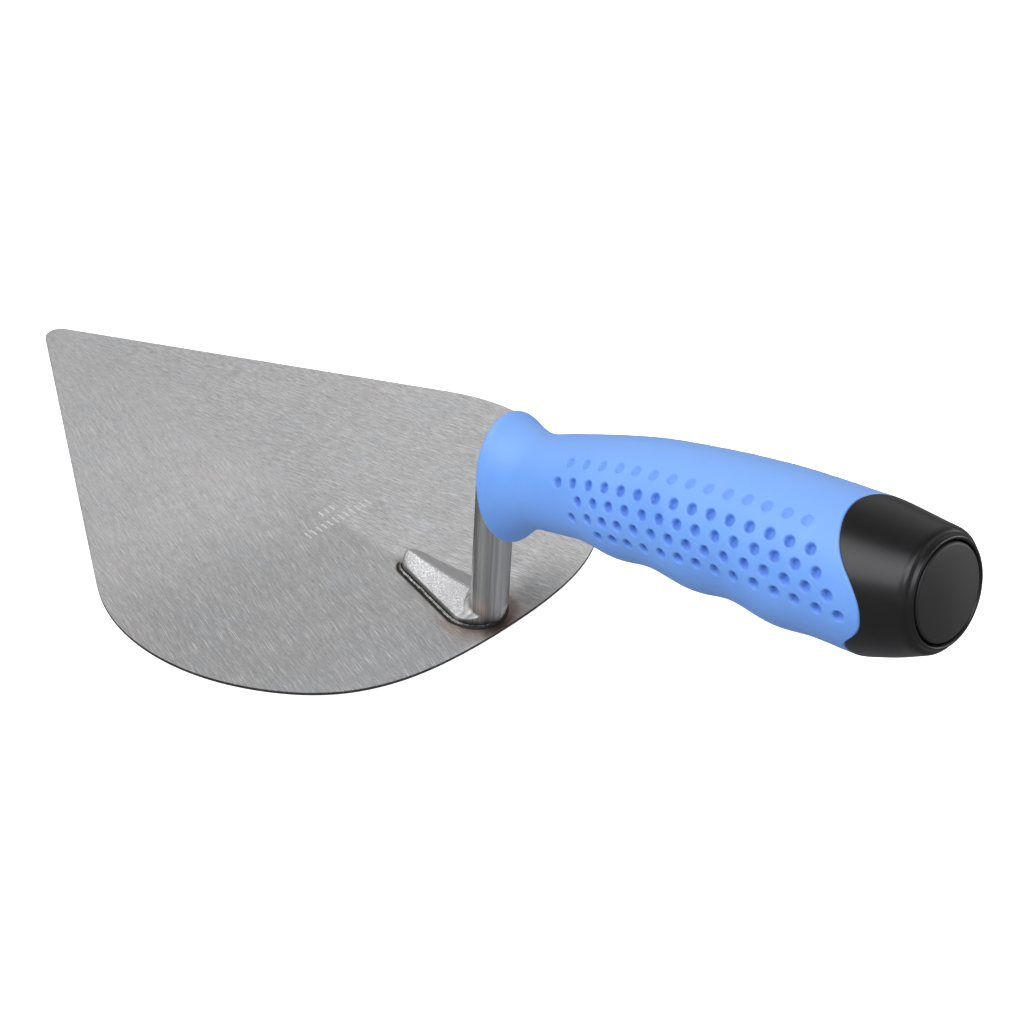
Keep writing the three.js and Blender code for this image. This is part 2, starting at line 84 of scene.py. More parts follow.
# ------------------------------------------------------------------ design tables, mm
SECTIONS = np.array([  # station, half height, centre height, width/height, lean
    [0.42, 14.45, -0.12, 1, 0], [0.12, 14.66, -0.12, 1, 0], [0.02, 15.00, -0.12, 1, 0],
    [0.10, 15.34, -0.12, 1, 0], [0.34, 15.60, -0.12, 1, 0], [0.70, 15.76, -0.12, 1, 0],
    [1.02, 15.82, -0.12, 1, 0], [1.26, 15.98, -0.12, 1, 0], [1.48, 16.36, -0.13, 1, 0],
    [1.80, 16.90, -0.13, 1, 0], [2.25, 17.28, -0.14, 1, 0], [3, 17.62, -0.15, 1, 0],
    [5, 18.12, -0.33, 1, 0], [8, 18.83, -0.65, 1, 0], [11, 19.55, -0.88, 1, 0],
    [14, 20.19, -1.05, 1, 0], [17, 20.77, -1.14, 1, 0], [20, 21.30, -1.18, 1, 0],
    [23, 21.66, -1.10, 1, 0], [26, 21.72, -0.84, 1, 0], [29, 21.66, -0.62, 1, 0],
    [32, 21.62, -0.40, 1, 0], [38, 21.67, 0.0, 1, 0], [44, 21.93, 0.05, 1, 0],
    [47, 22.05, 0.10, 1, 0], [50, 22.04, 0.26, 1, 0], [53, 21.88, 0.60, 1, 0],
    [56, 21.60, 1.02, 1, 0], [59, 21.26, 1.47, 1, 0], [62, 20.95, 1.83, 1, 0],
    [65, 20.72, 2.07, 1, 0], [68, 20.61, 2.15, 1, 0], [71, 20.63, 2.08, 1, 0],
    [74, 20.73, 1.88, 1, 0], [77, 20.80, 1.65, 1, 0], [80, 20.76, 1.57, 1, 0],
    [83, 20.57, 1.64, 1, 0], [86, 20.23, 1.85, 1, 0], [89, 19.87, 2.11, 1, 0],
    [92, 19.50, 2.35, 1, 0], [95, 19.18, 2.49, 1, 0], [98, 18.94, 2.53, 1, 0],
    [101, 18.82, 2.40, 0.999, 0], [104, 18.80, 2.12, 0.996, 0], [107, 18.78, 1.78, 0.992, 0],
    [110, 18.68, 1.47, 0.989, 0], [113, 18.43, 1.29, 0.986, 0], [116, 18.03, 1.25, 0.983, 0],
    [119, 17.54, 1.31, 0.98, 0], [122, 17.06, 1.32, 0.976, 0], [125.8, 16.54, 1.16, 0.972, 0],
    [128.3, 16.27, 0.98, 0.972, 0], [130.9, 16.05, 0.71, 0.971, 0],
    [133.5, 15.87, 0.37, 0.97, 0.001], [136.1, 15.72, 0.04, 0.966, 0.002],
    [138.7, 15.58, -0.31, 0.96, 0.003], [141.3, 15.43, -0.68, 0.952, 0.006],
    [143.8, 15.25, -1.07, 0.941, 0.009], [146.4, 15.11, -1.45, 0.926, 0.013],
    [149, 15.15, -1.81, 0.908, 0.018], [151.6, 15.50, -2.14, 0.884, 0.025],
    [154.2, 16.28, -2.45, 0.856, 0.033], [156.8, 17.52, -2.80, 0.822, 0.042],
    [159.4, 19.15, -3.17, 0.783, 0.053], [161.0, 20.40, -3.36, 0.755, 0.062],
    [162.1, 21.28, -3.45, 0.733, 0.067], [162.9, 21.76, -3.48, 0.718, 0.071],
    [163.6, 21.90, -3.49, 0.711, 0.073], [164.2, 21.74, -3.49, 0.711, 0.073],
    [164.65, 21.30, -3.50, 0.711, 0.073], [164.88, 20.65, -3.50, 0.711, 0.073],
    [164.92, 19.90, -3.50, 0.711, 0.073]])
FRONT_FACE = np.array([  # station, radius: the guard's face towards the blade, going inwards
    [164.75, 18.9], [164.35, 17.6], [163.7, 16.0], [163.05, 14.0], [162.6, 12.0],
    [162.35, 10.0], [162.25, 8.6]])
SLEEVE = np.array([  # station, radius of the core under the grip
    [10, 15.6], [16, 17.2], [24, 18.5], [36, 18.6], [50, 18.9], [60, 18.0], [70, 17.4],
    [80, 17.5], [92, 16.4], [104, 15.6], [114, 15.0], [126, 13.3], [140, 12.2], [150, 11.7],
    [157, 11.2]])
CAP_LINE = np.array([  # angle above the side (degrees), station of the seam between cap and grip
    [-90, 22.2], [-60, 22.2], [-43, 22.2], [-36, 22.1], [-31, 21.5], [-25, 19.6], [-19, 16.9],
    [-12, 14.9], [-3, 13.95], [7, 13.95], [17, 15.1], [27, 17.2], [37, 20.0], [46, 22.3],
    [54, 23.9], [67, 25.9], [78, 27.0], [90, 27.5]])
SEAM_GAP = 0.05                # each side of the seam
SLEEVE_GAP = 0.32              # grip's inner wall over the core

# dimples on each side, a row each: diameter, depth, [(station, degrees above the side), ...]
DIMPLES = [
    (3.7, 0.48, [(126.1, 52.2), (119.1, 53.5), (112.2, 55.2), (105.1, 55.8), (98.5, 55.9),
                 (91.4, 56.4), (84.3, 57.8), (77.3, 58.4), (70.3, 57.3), (63.2, 57.3),
                 (56.2, 58.6), (49.3, 59.1), (42.2, 58.9), (35.5, 58.4)]),
    (3.65, 1.15, [(128.7, 29.5), (122.0, 32.0), (114.8, 34.6), (107.9, 35.6), (101.2, 35.3),
                  (94.2, 35.9), (87.1, 38.2), (79.9, 39.0), (72.9, 38.2), (66.0, 37.9),
                  (58.9, 39.0), (51.7, 40.5), (44.7, 40.7), (37.9, 39.6), (30.8, 39.6)]),
    (3.6, 1.25, [(118.5, 16.2), (111.4, 19.6), (104.8, 19.4), (98.1, 19.3), (90.9, 21.1),
                 (83.9, 23.8), (76.9, 24.1), (70.1, 22.6), (62.8, 23.2), (55.7, 25.4),
                 (48.3, 26.9), (41.4, 26.1), (34.4, 25.5), (27.3, 25.0)]),
    (3.6, 1.25, [(121.8, -3.7), (114.0, 2.9), (107.4, 4.1), (101.1, 3.3), (94.3, 5.0),
                 (86.8, 8.7), (79.7, 10.6), (73.0, 9.5), (66.2, 8.7), (58.9, 10.9),
                 (51.2, 13.8), (44.3, 13.9), (37.4, 12.2), (30.3, 12.4), (23.1, 12.1)]),
    (3.55, 1.20, [(110.4, -11.9), (104.3, -12.1), (98.1, -12.5), (90.8, -8.9), (83.2, -4.2),
                  (76.4, -3.0), (69.9, -4.6), (62.9, -4.2), (55.4, -0.5), (47.8, 2.0),
                  (41.0, 0.2), (34.3, -0.9), (26.8, -1.1), (19.9, -2.0)]),
]
# nicks in the grip's top: station, degrees above the -Y side, half length, width, depth, slant
NICKS = [(121.0, 66, 3.0, 0.22, 0.10, 0.8), (118.2, 69, 2.2, 0.2, 0.08, 1.1),
         (33.0, 70, 2.4, 0.25, 0.07, 0.5)]

# the foot welded on the blade: its outline is two circles and their common tangents
FOOT_NOSE_X, FOOT_NOSE_R, FOOT_HEEL_X, FOOT_HEEL_R = 77.0, 3.4, 106.9, 9.2
FOOT_LENGTH = FOOT_HEEL_X - FOOT_NOSE_X
FOOT_SINE = (FOOT_HEEL_R - FOOT_NOSE_R) / FOOT_LENGTH   # of the tangent's angle to the centreline
FOOT_COSINE = math.sqrt(1 - FOOT_SINE * FOOT_SINE)
RIDGE = np.array([  # x, height of the foot's ridge
    [60, 6.9], [73.6, 6.9], [75.2, 7.45], [77.5, 7.6], [82, 7.4], [89, 7.4], [96, 7.7],
    [104, 8.3], [120, 8.6]])
NEAR_EDGE_Z = 3.2              # the near (-Y) long face ends at this height
FAR_SLOPE = 0.33               # the far (+Y) one falls at this slope
WELD_WIDTH, WELD_HEIGHT = 1.72, 0.95
COLUMN_R, COLUMN_X, COLUMN_LEAN, ELBOW_R = 6.2, 112.7, math.radians(1.7), 14.0
ROOT = np.array([  # height up the column, radius: it narrows into the foot
    [-1, 3.3], [0, 3.8], [0.8, 4.25], [1.6, 4.65], [2.8, 5.15], [4.0, 5.55], [5.4, 5.88],
    [6.8, 6.08], [9.0, 6.19], [11, COLUMN_R]])
TANG_R0, TANG_R1, THREAD_R, THREAD_FROM, TANG_END = 6.0, 4.3, 4.0, 44.0, 12.0
PLUG_R, RECESS_R, PLUG_T, ACCESS_R, BORE_FLOOR = 13.75, 14.35, 2.6, 10.5, 24.0
NUT_FLATS, NUT_T, NUT_PITCH, WASHER_R, WASHER_T = 13.0, 6.5, 1.25, 8.0, 1.6

BLADE_LENGTH, TIP_R, HALF_ANGLE = 240, 5.39, math.radians(30.593)
SHOULDER = np.array([  # distance from the point, half width: from the straight edge to the heel
    [131.2, 80.64], [139.37, 84.80], [148.21, 87.85], [157.53, 89.60], [167.12, 89.99],
    [176.79, 89.04], [186.34, 86.81], [195.61, 83.33], [204.43, 78.71], [212.74, 73.08],
    [220.33, 66.45], [226.81, 58.73], [231.83, 49.98], [235.42, 40.62], [237.71, 30.98],
    [239.03, 21.32], [239.73, 11.79], [240, 2.35], [240, -2.35]])

# ------------------------------------------------------------------ mesh helpers
built = {}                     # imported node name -> the object that replaces it


def make_object(name, verts_mm, faces, node, attributes=None, sharp_degrees=None):
    """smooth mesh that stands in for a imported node; faces is an array of quads or a list"""
    mesh = bpy.data.meshes.new(name)
    verts = np.asarray(verts_mm, float) * MM
    if isinstance(faces, np.ndarray):
        count, corners = faces.shape
        mesh.vertices.add(len(verts))
        mesh.vertices.foreach_set("co", verts.astype(np.float32).ravel())
        mesh.loops.add(count * corners)
        mesh.loops.foreach_set("vertex_index", faces.astype(np.int32).ravel())
        mesh.polygons.add(count)
        mesh.polygons.foreach_set("loop_start", (np.arange(count) * corners).astype(np.int32))
        mesh.polygons.foreach_set("loop_total", np.full(count, corners, np.int32))
        mesh.update(calc_edges=True)
    else:
        mesh.from_pydata([tuple(p) for p in verts], [], faces)
        mesh.update()
    mesh.validate()
    mesh.polygons.foreach_set("use_smooth", np.full(len(mesh.polygons), True))
    for key, values in (attributes or {}).items():
        attribute = mesh.attributes.new(key, "FLOAT", "POINT")
        attribute.data.foreach_set("value", np.asarray(values, np.float32).ravel())
    obj = bpy.data.objects.new(name, mesh)
    scene.collection.objects.link(obj)
    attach(obj, "root")
    if sharp_degrees:
        mesh.set_sharp_from_angle(angle=math.radians(sharp_degrees))
    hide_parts(node)
    built[node] = obj


def signed_volume(verts, faces):
    """six-fold volume over six, for triangles or quads; positive if the faces look outwards"""
    corners = [verts[faces[:, k]] for k in range(faces.shape[1])]
    volume = 0.0
    for second, third in zip(corners[1:-1], corners[2:]):
        volume += np.einsum("ij,ij->i", corners[0], np.cross(second, third)).sum()
    return volume / 6.0


def grid_faces(rows, cols, close_rows):
    """quads of a grid of points, closed along the columns, and along the rows if close_rows"""
    i, j = np.meshgrid(np.arange(rows if close_rows else rows - 1), np.arange(cols),
                       indexing="ij")
    next_i, next_j = (i + 1) % rows, (j + 1) % cols
    quads = [i * cols + j, i * cols + next_j, next_i * cols + next_j, next_i * cols + j]
    return np.stack(quads, -1).reshape(-1, 4)


def oriented(verts, quads):
    return quads if signed_volume(verts, quads) > 0 else quads[:, ::-1]


def handle_shell(rings, cols):
    """world points and quads of a closed shell through rings (or grids of rings) in the
    handle frame"""
    verts = to_world(np.concatenate([ring.reshape(-1, 3) for ring in rings]))
    return verts, oriented(verts, grid_faces(len(verts) // cols, cols, True))


def running_total(steps):
    return np.concatenate([[0], np.cumsum(steps)])


def path_length(points):
    return running_total(np.linalg.norm(np.diff(points, axis=0), axis=1))


def midpoints(values):
    return (values[1:] + values[:-1]) / 2


def catmull(points, per=12):
    """centripetal Catmull-Rom through points (n x k), knots from the first two columns"""
    points = np.asarray(points, float)
    points = np.vstack([2 * points[0] - points[1], points, 2 * points[-1] - points[-2]])
    out = []
    for k in range(1, len(points) - 2):
        four = points[k - 1:k + 3]
        knots = [0.0]
        for start, end in zip(four[:-1], four[1:]):
            knots.append(knots[-1] + max(np.linalg.norm((end - start)[:2]), 1e-6) ** 0.5)
        at = np.linspace(knots[1], knots[2], per, endpoint=False)[:, None]

        def blend(start, end, i, j):
            span = knots[j] - knots[i]
            return (knots[j] - at) / span * start + (at - knots[i]) / span * end
        lines = [blend(four[i], four[i + 1], i, i + 1) for i in range(3)]
        curves = [blend(lines[i], lines[i + 1], i, i + 2) for i in range(2)]
        out.append(blend(curves[0], curves[1], 1, 2))
    out.append(points[-2][None])
    return np.vstack(out)


def smoothstep(start, end, x):
    t = np.clip((np.asarray(x, float) - start) / (end - start), 0, 1)
    return t * t * (3 - 2 * t)


def smooth_max(first, second, width):
    share = np.clip(0.5 + 0.5 * (first - second) / width, 0, 1)
    return second + (first - second) * share + width * share * (1 - share)


def smooth_min(first, second, width):
    return -smooth_max(-first, -second, width)


# ------------------------------------------------------------------ the handle's outer surface
PROFILE = catmull(SECTIONS, 16)
ARC = path_length(PROFILE[:, :2])
SINGLE = int(np.argmax(PROFILE[:, 0])) + 1      # up to here a station names one place
CAP_FINE = catmull(CAP_LINE, 10)


def arc_at(station):
    return np.interp(station, PROFILE[:SINGLE, 0], ARC[:SINGLE])


def profile_at(arc):
    """station, half height, centre, oval, lean at a length along the profile"""
    return [np.interp(arc, ARC, PROFILE[:, k]) for k in range(5)]


def section_at(station):
    """station, half height, centre, oval, lean at a station"""
    return [np.interp(station, PROFILE[:SINGLE, 0], PROFILE[:SINGLE, k]) for k in range(5)]


def side_angle(phi):
    """degrees above the nearer side"""
    return np.degrees(np.arctan2(np.sin(phi), np.abs(np.cos(phi))))


def cap_line(phi):
    """station of the seam between the cap and the grip"""
    return np.interp(side_angle(phi), CAP_FINE[:, 0], CAP_FINE[:, 1])


def local_point(station, radius, phi, centre=0.0, oval=1.0, lean=0.0):
    z = radius * np.sin(phi)
    return np.stack(np.broadcast_arrays(-station + z * lean, radius * oval * np.cos(phi),
                                        z + centre), -1)


def section_ring(station, radius, phi):
    """ring that takes its centre, oval and lean from the handle's section"""
    return local_point(station, radius, phi, *section_at(station)[2:])


def even_angles(cols):
    return np.arange(cols) / cols * 2 * np.pi


def sleeve_radius(station):
    return np.interp(station, SLEEVE[:, 0], SLEEVE[:, 1])


# ------------------------------------------------------------------ the shank's centre line
# in the trowel frame: a column up from the foot, a bend, then the tang along the handle axis
COLUMN_UP = np.array([math.sin(COLUMN_LEAN), 0.0, math.cos(COLUMN_LEAN)])
COLUMN_BASE = np.array([COLUMN_X, 0.0, BLADE_T])
axis_slope = AXIS[2] / AXIS[0]
CORNER_HEIGHT = ((BUTT[2] - COLUMN_BASE[2] + (COLUMN_BASE[0] - BUTT[0]) * axis_slope)
                 / (COLUMN_UP[2] - COLUMN_UP[0] * axis_slope))
corner = COLUMN_BASE + COLUMN_UP * CORNER_HEIGHT
TURN = math.acos(float(np.clip(COLUMN_UP @ AXIS, -1, 1)))
BEND_LEG = ELBOW_R * math.tan(TURN / 2)
BEND_INWARD = AXIS - COLUMN_UP * (AXIS @ COLUMN_UP)
BEND_INWARD /= np.linalg.norm(BEND_INWARD)
BEND_CENTRE = corner - COLUMN_UP * BEND_LEG + BEND_INWARD * ELBOW_R
ELBOW_END = float((BUTT - corner) @ AXIS) - BEND_LEG      # station
TANG_SLOPE = (TANG_R0 - TANG_R1) / (ELBOW_END - 1 - THREAD_FROM)


def tang_taper(station):
    return TANG_R1 + (station - THREAD_FROM) * TANG_SLOPE


def shank_axis_distance(x, y, z):
    """distance to the bent centre line, each stretch kept to its own span; the station along
    the handle; the height up the column; and whether the tang is the nearest stretch"""
    from_x, from_z = x - BEND_CENTRE[0], z - BEND_CENTRE[2]
    outward = -(from_x * BEND_INWARD[0] + from_z * BEND_INWARD[2])
    upward = from_x * COLUMN_UP[0] + from_z * COLUMN_UP[2]
    reach = np.sqrt(outward * outward + upward * upward) + 1e-9
    angle = np.arctan2(upward, outward)
    to_bend = np.where((angle >= 0) & (angle <= TURN),
                       np.sqrt((reach - ELBOW_R) ** 2 + y * y), 1e6)
    from_x, from_z = x - COLUMN_BASE[0], z - COLUMN_BASE[2]
    height = from_x * COLUMN_UP[0] + from_z * COLUMN_UP[2]
    over = np.maximum(height - (CORNER_HEIGHT - BEND_LEG), 0)
    sideways = from_x * COLUMN_UP[2] - from_z * COLUMN_UP[0]
    to_column = np.sqrt(sideways ** 2 + y * y + over ** 2)
    from_x, from_z = x - BUTT[0], z - BUTT[2]
    station = -(from_x * AXIS[0] + from_z * AXIS[2])
    past = np.maximum(station - ELBOW_END, 0)
    sideways = from_x * HANDLE_UP[0] + from_z * HANDLE_UP[2]
    to_tang = np.sqrt(sideways ** 2 + y * y + past ** 2)
    on_tang = (to_tang < to_column) & (to_tang <= to_bend)
    return np.minimum(np.minimum(to_bend, to_column), to_tang), station, height, on_tang


# ------------------------------------------------------------------ soft grip
def grip_angles(cols):
    """angles round the handle, denser where the dimples are"""
    fine = np.linspace(0, 2 * np.pi, 20001)
    above = side_angle(fine)
    density = 1.0 + 1.9 * smoothstep(-26, -16, above) * (1 - smoothstep(62, 72, above))
    total = running_total(midpoints(density))
    return np.interp(np.arange(cols) / cols * total[-1], total, fine)


def grip_rows():
    """lengths along the profile, fine where the dimples are and at the guard"""
    fine = np.linspace(20, 164.0, 6001)
    density = 1.0 + 2.4 * (1 - smoothstep(126, 134, fine)) + 1.3 * smoothstep(152, 158, fine)
    arc = arc_at(fine)
    total = running_total(midpoints(density) * np.diff(arc))
    rows = np.interp(np.linspace(0, total[-1], 300), total, arc)
    return np.concatenate([rows, np.linspace(rows[-1], ARC[-1], 18)[1:]])


def grip_skin(phi):
    """grid of points on the grip's outside, before the dimples, and its outward normals"""
    rows = grip_rows()
    seam = arc_at(cap_line(phi) + SEAM_GAP)[None, :]
    # the rows follow the seam and even out by station 58
    decay = 1 - smoothstep(rows[0], arc_at(58.0), rows)
    arc = rows[:, None] + (seam - rows[0]) * decay[:, None]
    station, radius, centre, oval, lean = profile_at(arc)
    # rounded edge at the seam
    radius = radius - 0.30 * np.clip(1 - (arc - seam) / 0.45, 0, 1) ** 2
    skin = local_point(station, radius, phi[None, :], centre, oval, lean)
    normal = np.cross(np.roll(skin, -1, 1) - np.roll(skin, 1, 1), np.gradient(skin, axis=0))
    normal /= np.linalg.norm(normal, axis=2, keepdims=True) + 1e-12
    outward = skin - np.stack([skin[..., 0], np.zeros_like(centre), centre], -1)
    normal *= np.sign((normal * outward).sum(-1, keepdims=True))
    return skin, normal


def dimple_depths(skin):
    """how far each point is pushed in, and how much painted shade it gets in a dimple (0 to 1)"""
    push = np.zeros(skin.shape[:2])
    dimple_shade = np.zeros(skin.shape[:2])
    for diameter, depth, spots in DIMPLES:
        for station, degrees in spots:
            # a little smaller towards the guard
            radius = diameter / 2 * (1.0 - 0.08 * smoothstep(85, 130, station))
            _, half_height, centre, oval, lean = section_at(station)
            angle = math.radians(degrees)
            rise = half_height * math.sin(angle)
            for side in (-1, 1):
                spot = np.array([-station + rise * lean,
                                 side * half_height * oval * math.cos(angle), rise + centre])
                offset = skin - spot
                near = ((np.abs(offset[..., 0]) < radius + 1.2)
                        & (np.sign(skin[..., 1]) == side)
                        & (np.abs(offset[..., 2]) < radius + 1.2))
                x, y, z = offset[near].T
                rho = np.sqrt(x ** 2 + z ** 2 + y ** 2) / radius
                # a steep wall and a sloping floor, deeper towards the handle's end... see toward
                toward = np.clip((-x * 0.97 + z * 0.20) / radius, -1.1, 1.1)
                shape = ((1 - smoothstep(0.60 + 0.12 * toward, 1.06, rho))
                         * (1 - 0.10 * np.minimum(rho, 1) ** 2))
                shape = shape * (1 + 0.38 * toward)
                lip = 0.05 * np.exp(-((rho - 1.20) / 0.13) ** 2)
                push[near] = np.where(shape > 0.01, np.maximum(push[near], depth * shape),
                                      push[near] - lip)
                # painted shade inside the dimple: darker deep in, heavier on the wall towards the guard
                look = ((1 - smoothstep(0.82, 1.10, rho)) * min(1.0, depth / 1.15)
                        * np.clip(0.62 + 0.48 * toward, 0.12, 1.0))
                dimple_shade[near] = np.maximum(dimple_shade[near], look)
    return push, dimple_shade


def cut_nicks(skin, normal, phi):
    for station, degrees, half_length, width, depth, slant in NICKS:
        half_height = section_at(station)[1]
        lengthwise = -skin[..., 0] - station
        around = (phi[None, :] - math.radians(180 - degrees)) * half_height
        along = lengthwise * math.cos(slant) + around * math.sin(slant)
        across = -lengthwise * math.sin(slant) + around * math.cos(slant)
        cut = (np.exp(-(across / width) ** 2)
               * (1 - smoothstep(half_length * 0.6, half_length, np.abs(along))))
        skin = skin - normal * (depth * cut)[..., None]
    return skin


def shank_hole(station, phi):
    """radii of a ring that clears the shank by 0.3 mm, by bisection"""
    low, high = np.full(len(phi), 2.0), np.full(len(phi), 12.0)
    for _ in range(40):
        middle = (low + high) / 2
        points = to_world(local_point(station, middle, phi))
        inside = shank_axis_distance(*points.T)[0] < COLUMN_R + 0.3
        low, high = np.where(inside, middle, low), np.where(inside, high, middle)
    return high


def grip_inside(phi):
    """rings over the guard's face, back through the shank's hole and along the core"""
    rings = []
    rim_radius, centre, oval, lean = SECTIONS[-1, 1:]
    face = catmull(np.vstack([SECTIONS[-1, :2], FRONT_FACE]), 3)
    for station, radius in face[1:]:
        share = np.clip((rim_radius - radius) / (rim_radius - FRONT_FACE[-1, 1]), 0, 1)
        rings.append(local_point(station, radius, phi, centre * (1 - share),
                                 oval + (1 - oval) * share, lean * (1 - share)))
    for station, limit in ((162.2, 8.4), (161.6, 9.5), (160.4, 9.5), (159.0, 9.5), (157.6, 9.5)):
        rings.append(local_point(station, np.minimum(shank_hole(station, phi), limit), phi))
    rings.append(local_point(157.35, SLEEVE[-1, 1] + SLEEVE_GAP, phi, *section_at(157.4)[2:]))
    for station in (155, 150, 140, 126, 114, 104, 92, 80, 70, 60, 50, 40):
        rings.append(section_ring(station, sleeve_radius(station) + SLEEVE_GAP, phi))
    edge = cap_line(phi) + SEAM_GAP
    for share in (0.25, 0.5, 0.75, 1.0):
        station = 40 + (edge - 40) * share
        rings.append(section_ring(station, sleeve_radius(station) + SLEEVE_GAP, phi))
    inner = sleeve_radius(edge) + SLEEVE_GAP
    outer = section_at(edge)[1] - 0.45
    for share in (0.4, 0.8):
        rings.append(section_ring(edge, inner + (outer - inner) * share, phi))
    return rings


def build_grip():
    cols = 280
    phi = grip_angles(cols)
    skin, normal = grip_skin(phi)
    push, dimple_shade = dimple_depths(skin)
    skin = cut_nicks(skin - normal * push[..., None], normal, phi)
    verts, quads = handle_shell([skin] + grip_inside(phi), cols)
    dimple_shade = np.concatenate([dimple_shade.ravel(), np.zeros(len(verts) - dimple_shade.size)])
    make_object("grip", verts, quads, "soft_grip", {"dimple_shade": dimple_shade})


# ------------------------------------------------------------------ cap and core
def core_bore():
    """station, radius down the bore from the guard to the recess in the end"""
    yield from ((157.0, 6.75), (155.0, 6.45))
    for station in np.linspace(150, 46, 14):
        yield station, tang_taper(station) + 0.3
    yield from (
        (THREAD_FROM, TANG_R1 + 0.3), (40.0, THREAD_R + 0.25),
        (BORE_FLOOR + 0.3, THREAD_R + 0.25), (BORE_FLOOR, THREAD_R + 0.55), (BORE_FLOOR, 8.5),
        (BORE_FLOOR, ACCESS_R - 0.3), (BORE_FLOOR - 0.3, ACCESS_R), (12.0, ACCESS_R),
        (PLUG_T + 0.55, ACCESS_R), (PLUG_T + 0.3, ACCESS_R + 0.25),
        (PLUG_T + 0.3, RECESS_R - 0.25), (PLUG_T + 0.1, RECESS_R), (1.2, RECESS_R))


def build_core():
    cols = 256
    phi = even_angles(cols)
    seam = cap_line(phi) - SEAM_GAP
    seam_arc = arc_at(seam)[None, :]
    # the cap's outside, from the recess's rim to the seam
    shares = np.concatenate([np.linspace(0, 0.16, 22), np.linspace(0.16, 0.93, 34)[1:],
                             np.linspace(0.93, 1, 14)[1:]])
    arc = shares[:, None] * seam_arc
    station, radius, centre, oval, lean = profile_at(arc)
    back = seam_arc - arc
    # the cap stands a touch proud of the grip along the bottom, and its edge is rounded
    proud = (0.18 * smoothstep(-20, -45, side_angle(phi))[None, :]
             * (1 - smoothstep(0.5, 7.0, back)))
    radius = radius + proud - 0.28 * np.clip(1 - back / 0.40, 0, 1) ** 2
    rings = [local_point(station, radius, phi[None, :], centre, oval, lean)]
    # down to the sleeve and along it to its end at the guard
    outer, inner = section_at(seam)[1] - 0.4, sleeve_radius(seam)
    for share in (0.3, 0.75, 1.0):
        rings.append(section_ring(seam, outer + (inner - outer) * share, phi))
    for share in (0.34, 0.67, 1.0):
        station = seam + (34 - seam) * share
        rings.append(section_ring(station, sleeve_radius(station), phi))
    for station in np.linspace(38, 156.6, 36):
        rings.append(section_ring(station, sleeve_radius(station), phi))
    rings.append(section_ring(157.0, 10.9, phi))
    rings.append(local_point(157.0, 9.0, phi, section_at(157.0)[2] * 0.5))
    rings += [local_point(station, radius, phi) for station, radius in core_bore()]
    rings.append(local_point(0.42, RECESS_R, phi, -0.06))
    rings.append(local_point(0.32, RECESS_R + 0.04, phi, -0.12))
    verts, quads = handle_shell(rings, cols)
    make_object("cap_and_core", verts, quads, "handle_core", sharp_degrees=60)


# ------------------------------------------------------------------ end disc, washer and nut
def lathe(name, profile, cols, node):
    """turned piece about the handle axis; the profile [station, radius] either starts and ends
    on the axis or is a closed loop clear of it"""
    phi = even_angles(cols)
    closed = profile[0, 1] > 1e-9
    body = profile if closed else profile[1:-1]
    verts = np.concatenate([local_point(station, radius, phi) for station, radius in body])
    quads = grid_faces(len(body), cols, closed)
    poles = []
    if not closed:
        first, last = len(verts), len(verts) + 1
        last_ring = (len(body) - 1) * cols
        verts = np.vstack([verts, [[-profile[0, 0], 0, 0], [-profile[-1, 0], 0, 0]]])
        for j in range(cols):
            poles.append([first, (j + 1) % cols, j])
            poles.append([last, last_ring + j, last_ring + (j + 1) % cols])
    verts = to_world(verts)
    faces = quads.tolist() + poles
    volume = signed_volume(verts, quads)
    if poles:
        volume += signed_volume(verts, np.array(poles))
    if volume < 0:
        faces = [face[::-1] for face in faces]
    make_object(name, verts, faces, node)


def round_corners(points, radius, steps=3):
    """polyline [station, radius] with its inner corners rounded"""
    points = [np.array(p, float) for p in points]
    out = [points[0]]
    for before, at, after in zip(points, points[1:], points[2:]):
        to_before, to_after = np.linalg.norm(before - at), np.linalg.norm(after - at)
        cut = min(radius, 0.45 * to_before, 0.45 * to_after)
        start = at + (before - at) / to_before * cut
        end = at + (after - at) / to_after * cut
        for t in np.linspace(0, 1, steps + 1):
            out.append((1 - t) ** 2 * start + 2 * t * (1 - t) * at + t * t * end)
    out.append(points[-1])
    return np.array(out)


def build_plug():
    spigot_r, rim_station, rim_depth, dome_height = ACCESS_R - 0.3, 0.35, 0.62, 0.55
    inner = round_corners([[7.5, 0], [7.5, ACCESS_R - 1.2], [6.5, spigot_r], [PLUG_T, spigot_r],
                           [PLUG_T, PLUG_R], [rim_station, PLUG_R]], radius=0.25)
    turn = np.linspace(0, 1, 11)[1:] * math.pi / 2
    rim = np.column_stack([rim_station - rim_depth * np.sin(turn),
                           PLUG_R - 0.95 * (1 - np.cos(turn))])
    radii = np.linspace(rim[-1, 1], 0, 26)[1:]
    bulge = dome_height * (1 - (radii / rim[-1, 1]) ** 2) ** 0.9
    dome = np.column_stack([rim_station - rim_depth - bulge, radii])
    lathe("end_disc", np.vstack([inner, rim, dome]), 160, "end_plug")


def build_washer():
    hole_r = THREAD_R + 0.3
    front = BORE_FLOOR - 0.1
    back = front - WASHER_T
    loop = round_corners([[back + 0.8, hole_r], [back, hole_r], [back, WASHER_R],
                          [front, WASHER_R], [front, hole_r], [back + 0.8, hole_r]], radius=0.22)
    lathe("washer", loop[:-1], 96, "tang_washer")


